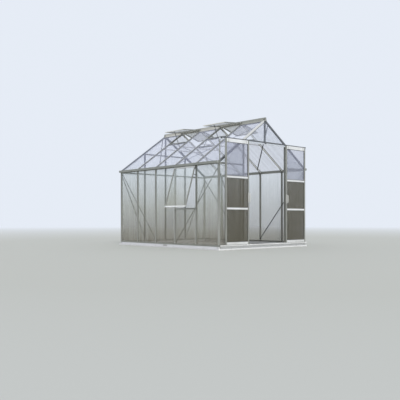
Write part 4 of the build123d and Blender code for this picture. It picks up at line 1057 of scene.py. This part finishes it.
class GREENHOUSE_OT_door_fixings(bpy.types.Operator):
    """Adds the leaves' corner screws, hanger bolts and handle plates"""

    bl_idname = "greenhouse.door_fixings"
    bl_label = "Door Fixings"

    def execute(self, context):
        metal, sizes = chosen(context)
        zinc = galvanised("door_screw_zinc", metal.fixings, FINE)
        plastic = moulded("plate_plastic", metal.handles)
        rim, gauge, beyond, corner = 0.003, 0.002, 0.018, 0.008  # of a handle plate
        for side in ("left", "right"):
            body = f"{side}_door"
            stiles = boxes_of(f"{body}_stiles")
            front = stiles[0][0].y
            screws = []
            for rail in boxes_of(f"{body}_rails"):
                for stile in stiles:
                    spot = ((stile[0].x + stile[1].x) / 2, front - OFF, (rail[0].z + rail[1].z) / 2)
                    screws.append(on(f"{body}_stiles", spot, BACK, spot[2]))
            bolts = []
            for low, high in boxes_of(f"{body}_rollers"):
                for rise in (0.018, 0.048):
                    spot = ((low.x + high.x) / 2, front - OFF, low.z + rise)
                    bolts.append(on(f"{body}_rails", spot, BACK, rise * 30))
            low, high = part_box(f"{body}_handle")
            plate = rounded_plate((low.x - rim, front - gauge, low.z - beyond),
                                  (high.x + rim, front, high.z + beyond), -BACK, corner)
            plate.name = f"{body}_handle_plate"
            for z in (low.z - beyond / 2, high.z + beyond / 2):
                screws.append(facing(Vector(((low.x + high.x) / 2, front - gauge, z)), -BACK, z))
            settle(plate, body, plastic)
            settle(repeat(pan_screw(sizes.screw), screws, f"{body}_screws"), body, zinc)
            fixing = hexagon_fixing(sizes.bolt, sizes.washer)
            settle(repeat(fixing, bolts, f"{body}_hanger_bolts"), body, zinc)
        return {"FINISHED"}


class GREENHOUSE_OT_door_seals(bpy.types.Operator):
    """Adds the gaskets round the door panes and the brush seals on the leaves' backs"""

    bl_idname = "greenhouse.door_seals"
    bl_label = "Door Seals"

    def execute(self, context):
        metal, sizes = chosen(context)
        rubber = moulded("gasket_rubber", metal.rubber, 0.6)
        holder_metal = aluminium("holder_aluminium", metal.bars, "Z")
        fibre = brush_fibre("pile_fibre", metal.pile)
        for side in ("left", "right"):
            body = f"{side}_door"
            stiles = boxes_of(f"{body}_stiles")
            rails = boxes_of(f"{body}_rails")
            pane_low, pane_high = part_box(f"{body}_sheets")
            frames = []
            for below, above in zip(rails, rails[1:]):
                for face, way in ((pane_low.y, -1.0), (pane_high.y, 1.0)):
                    low = (stiles[0][1].x, face, below[1].z)
                    frames.append(self.gasket(low, (stiles[1][0].x, face, above[0].z), sizes.gasket, way))
            settle(join(frames, f"{body}_gaskets"), body, rubber)

            back = stiles[0][1].y
            low, high = stiles[0][0].z + 0.006, track_low.z - 0.009
            middles = [(stile[0].x + stile[1].x) / 2 for stile in stiles]
            holders = [self.holder(x, back, low, high) for x in middles]
            piles = [self.pile(x, back + 0.0016, low, high, sizes) for x in middles]
            settle(join(holders, f"{body}_brush_holders"), body, holder_metal)
            settle(join(piles, f"{body}_brush_pile"), body, fibre)
        return {"FINISHED"}

    def gasket(self, low, high, width, way):
        """A flat frame between two corners, made 3.5 mm deep towards the front or the back."""
        middle = (Vector(low) + Vector(high)) / 2
        begin(bpy.ops.mesh.primitive_plane_add, size=1.0, location=middle, rotation=(radians(90), 0.0, 0.0))
        bpy.ops.mesh.select_all(action="SELECT")
        bpy.ops.transform.resize(value=(high[0] - low[0], 1.0, high[2] - low[2]))
        inset(width)
        bpy.ops.mesh.delete(type="FACE")
        bpy.ops.mesh.select_all(action="SELECT")
        pull(0.0, way * 0.0035, 0.0)
        bpy.ops.mesh.select_all(action="SELECT")
        bpy.ops.mesh.normals_make_consistent(inside=False)
        pick_faces(BACK * way)
        bevel(0.0008)
        return finish("gasket")

    def holder(self, x, back, low, high):
        """A shallow channel that carries a brush."""
        half, depth = 0.005, 0.003
        block((x - half, back, low), (x + half, back + depth, high))
        pick_faces(BACK)
        inset(0.0018)
        pull(0.0, -0.0014, 0.0)
        return soften(UP, 0.0004, "holder")

    def pile(self, x, root, low, high, sizes):
        """A row of tufts that narrow towards their tips."""
        half = 0.003
        block((x - half, root, low), (x + half, root + sizes.pile, low + sizes.tuft * 0.85))
        pick_faces(BACK)
        bpy.ops.transform.resize(value=(0.35, 1.0, 0.7))
        tuft = finish("pile")
        row = tuft.modifiers.new("row", "ARRAY")
        row.count = int((high - low) / sizes.tuft)
        row.use_relative_offset = False
        row.use_constant_offset = True
        row.constant_offset_displace = (0.0, 0.0, sizes.tuft)
        bpy.ops.object.modifier_apply(modifier=row.name)
        return tuft


class GREENHOUSE_OT_stage(bpy.types.Operator):
    """Makes the floor, the light and the camera"""

    bl_idname = "greenhouse.stage"
    bl_label = "Stage"

    def execute(self, context):
        stage = context.scene.greenhouse_stage
        bpy.ops.object.select_all(action="DESELECT")
        bpy.ops.mesh.primitive_plane_add(size=400.0, location=(0.0, 0.0, 0.0))
        floor = context.object
        floor.name = "floor"
        graph = paint("floor_paint")
        floor.data.materials.append(graph.finish(base_color=stage.floor, roughness=0.9))
        reach = graph.node("ShaderNodeVectorMath", graph.place, operation="LENGTH").outputs["Value"]
        glow = graph.node("ShaderNodeEmission", stage.backdrop)
        fade = graph.node("ShaderNodeMixShader", graph.spread(reach, 7.0, 30.0),
                          graph.shader.outputs[0], glow.outputs[0])
        graph.put(fade.outputs[0], graph.tree.nodes["Material Output"].inputs["Surface"])

        sky = Graph(bpy.data.worlds.new("pale_sky"))
        light = sky.tree.nodes["Background"]
        sky.put((0.93, 0.96, 1.0, 1.0), light.inputs["Color"])
        sky.put(0.62, light.inputs["Strength"])
        shown = sky.node("ShaderNodeBackground", stage.backdrop)
        path = sky.node("ShaderNodeLightPath").outputs
        either = sky.sum("MAXIMUM", path["Is Camera Ray"], path["Is Glossy Ray"])
        seen = sky.node("ShaderNodeMixShader", either, light.outputs[0], shown.outputs[0])
        sky.put(seen.outputs[0], sky.tree.nodes["World Output"].inputs["Surface"])
        context.scene.world = sky.owner

        bpy.ops.object.light_add(type="SUN")
        sun = context.object
        sun.name = "key"
        sun.data.energy = stage.key_strength
        sun.data.angle = radians(25)
        sun.rotation_euler = Vector((5.2, 6.8, -8.0)).to_track_quat("-Z", "Y").to_euler()

        level = (radians(90), 0.0, -stage.camera_heading)
        bpy.ops.object.camera_add(location=stage.camera_place, rotation=level)
        camera = context.object
        camera.data.lens = stage.camera_lens
        camera.data.shift_y = stage.camera_shift
        camera.data.clip_end = 500.0
        context.scene.camera = camera
        context.scene.view_settings.view_transform = "Standard"
        context.scene.cycles.transparent_max_bounces = 32
        return {"FINISHED"}


class GREENHOUSE_PT_panel(bpy.types.Panel):
    """Lists the greenhouse's settings and steps"""

    bl_idname = "GREENHOUSE_PT_panel"
    bl_label = "Greenhouse"
    bl_space_type = "VIEW_3D"
    bl_region_type = "UI"
    bl_category = "Greenhouse"

    def draw(self, context):
        for group, settings in SETTINGS.items():
            column = self.layout.column()
            for name in settings.__annotations__:
                column.prop(getattr(context.scene, group), name)
        for step in STEPS:
            self.layout.operator(step.bl_idname)


SETTINGS = {
    "greenhouse_metal": MetalSettings,
    "greenhouse_sheets": SheetSettings,
    "greenhouse_fittings": FittingSettings,
    "greenhouse_stage": StageSettings,
}
STEPS = (
    GREENHOUSE_OT_frame_metal,
    GREENHOUSE_OT_wall_sheets,
    GREENHOUSE_OT_doors,
    GREENHOUSE_OT_frame_bolts,
    GREENHOUSE_OT_base_fixings,
    GREENHOUSE_OT_glazing_seals,
    GREENHOUSE_OT_roof_closures,
    GREENHOUSE_OT_ridge_flashings,
    GREENHOUSE_OT_vent_fixings,
    GREENHOUSE_OT_track_stops,
    GREENHOUSE_OT_door_fixings,
    GREENHOUSE_OT_door_seals,
    GREENHOUSE_OT_stage,
)


def register():
    for name, settings in SETTINGS.items():
        bpy.utils.register_class(settings)
        setattr(bpy.types.Scene, name, bpy.props.PointerProperty(type=settings))
    for shown in (*STEPS, GREENHOUSE_PT_panel):
        bpy.utils.register_class(shown)


def unregister():
    for shown in (GREENHOUSE_PT_panel, *reversed(STEPS)):
        bpy.utils.unregister_class(shown)
    for name, settings in SETTINGS.items():
        delattr(bpy.types.Scene, name)
        bpy.utils.unregister_class(settings)


def main():
    register()
    bpy.ops.greenhouse.frame_metal()
    bpy.ops.greenhouse.wall_sheets()
    bpy.ops.greenhouse.doors()
    bpy.ops.greenhouse.frame_bolts()
    bpy.ops.greenhouse.base_fixings()
    bpy.ops.greenhouse.glazing_seals()
    bpy.ops.greenhouse.roof_closures()
    bpy.ops.greenhouse.ridge_flashings()
    bpy.ops.greenhouse.vent_fixings()
    bpy.ops.greenhouse.track_stops()
    bpy.ops.greenhouse.door_fixings()
    bpy.ops.greenhouse.door_seals()
    bpy.ops.greenhouse.stage()


if __name__ == "__main__":
    main()
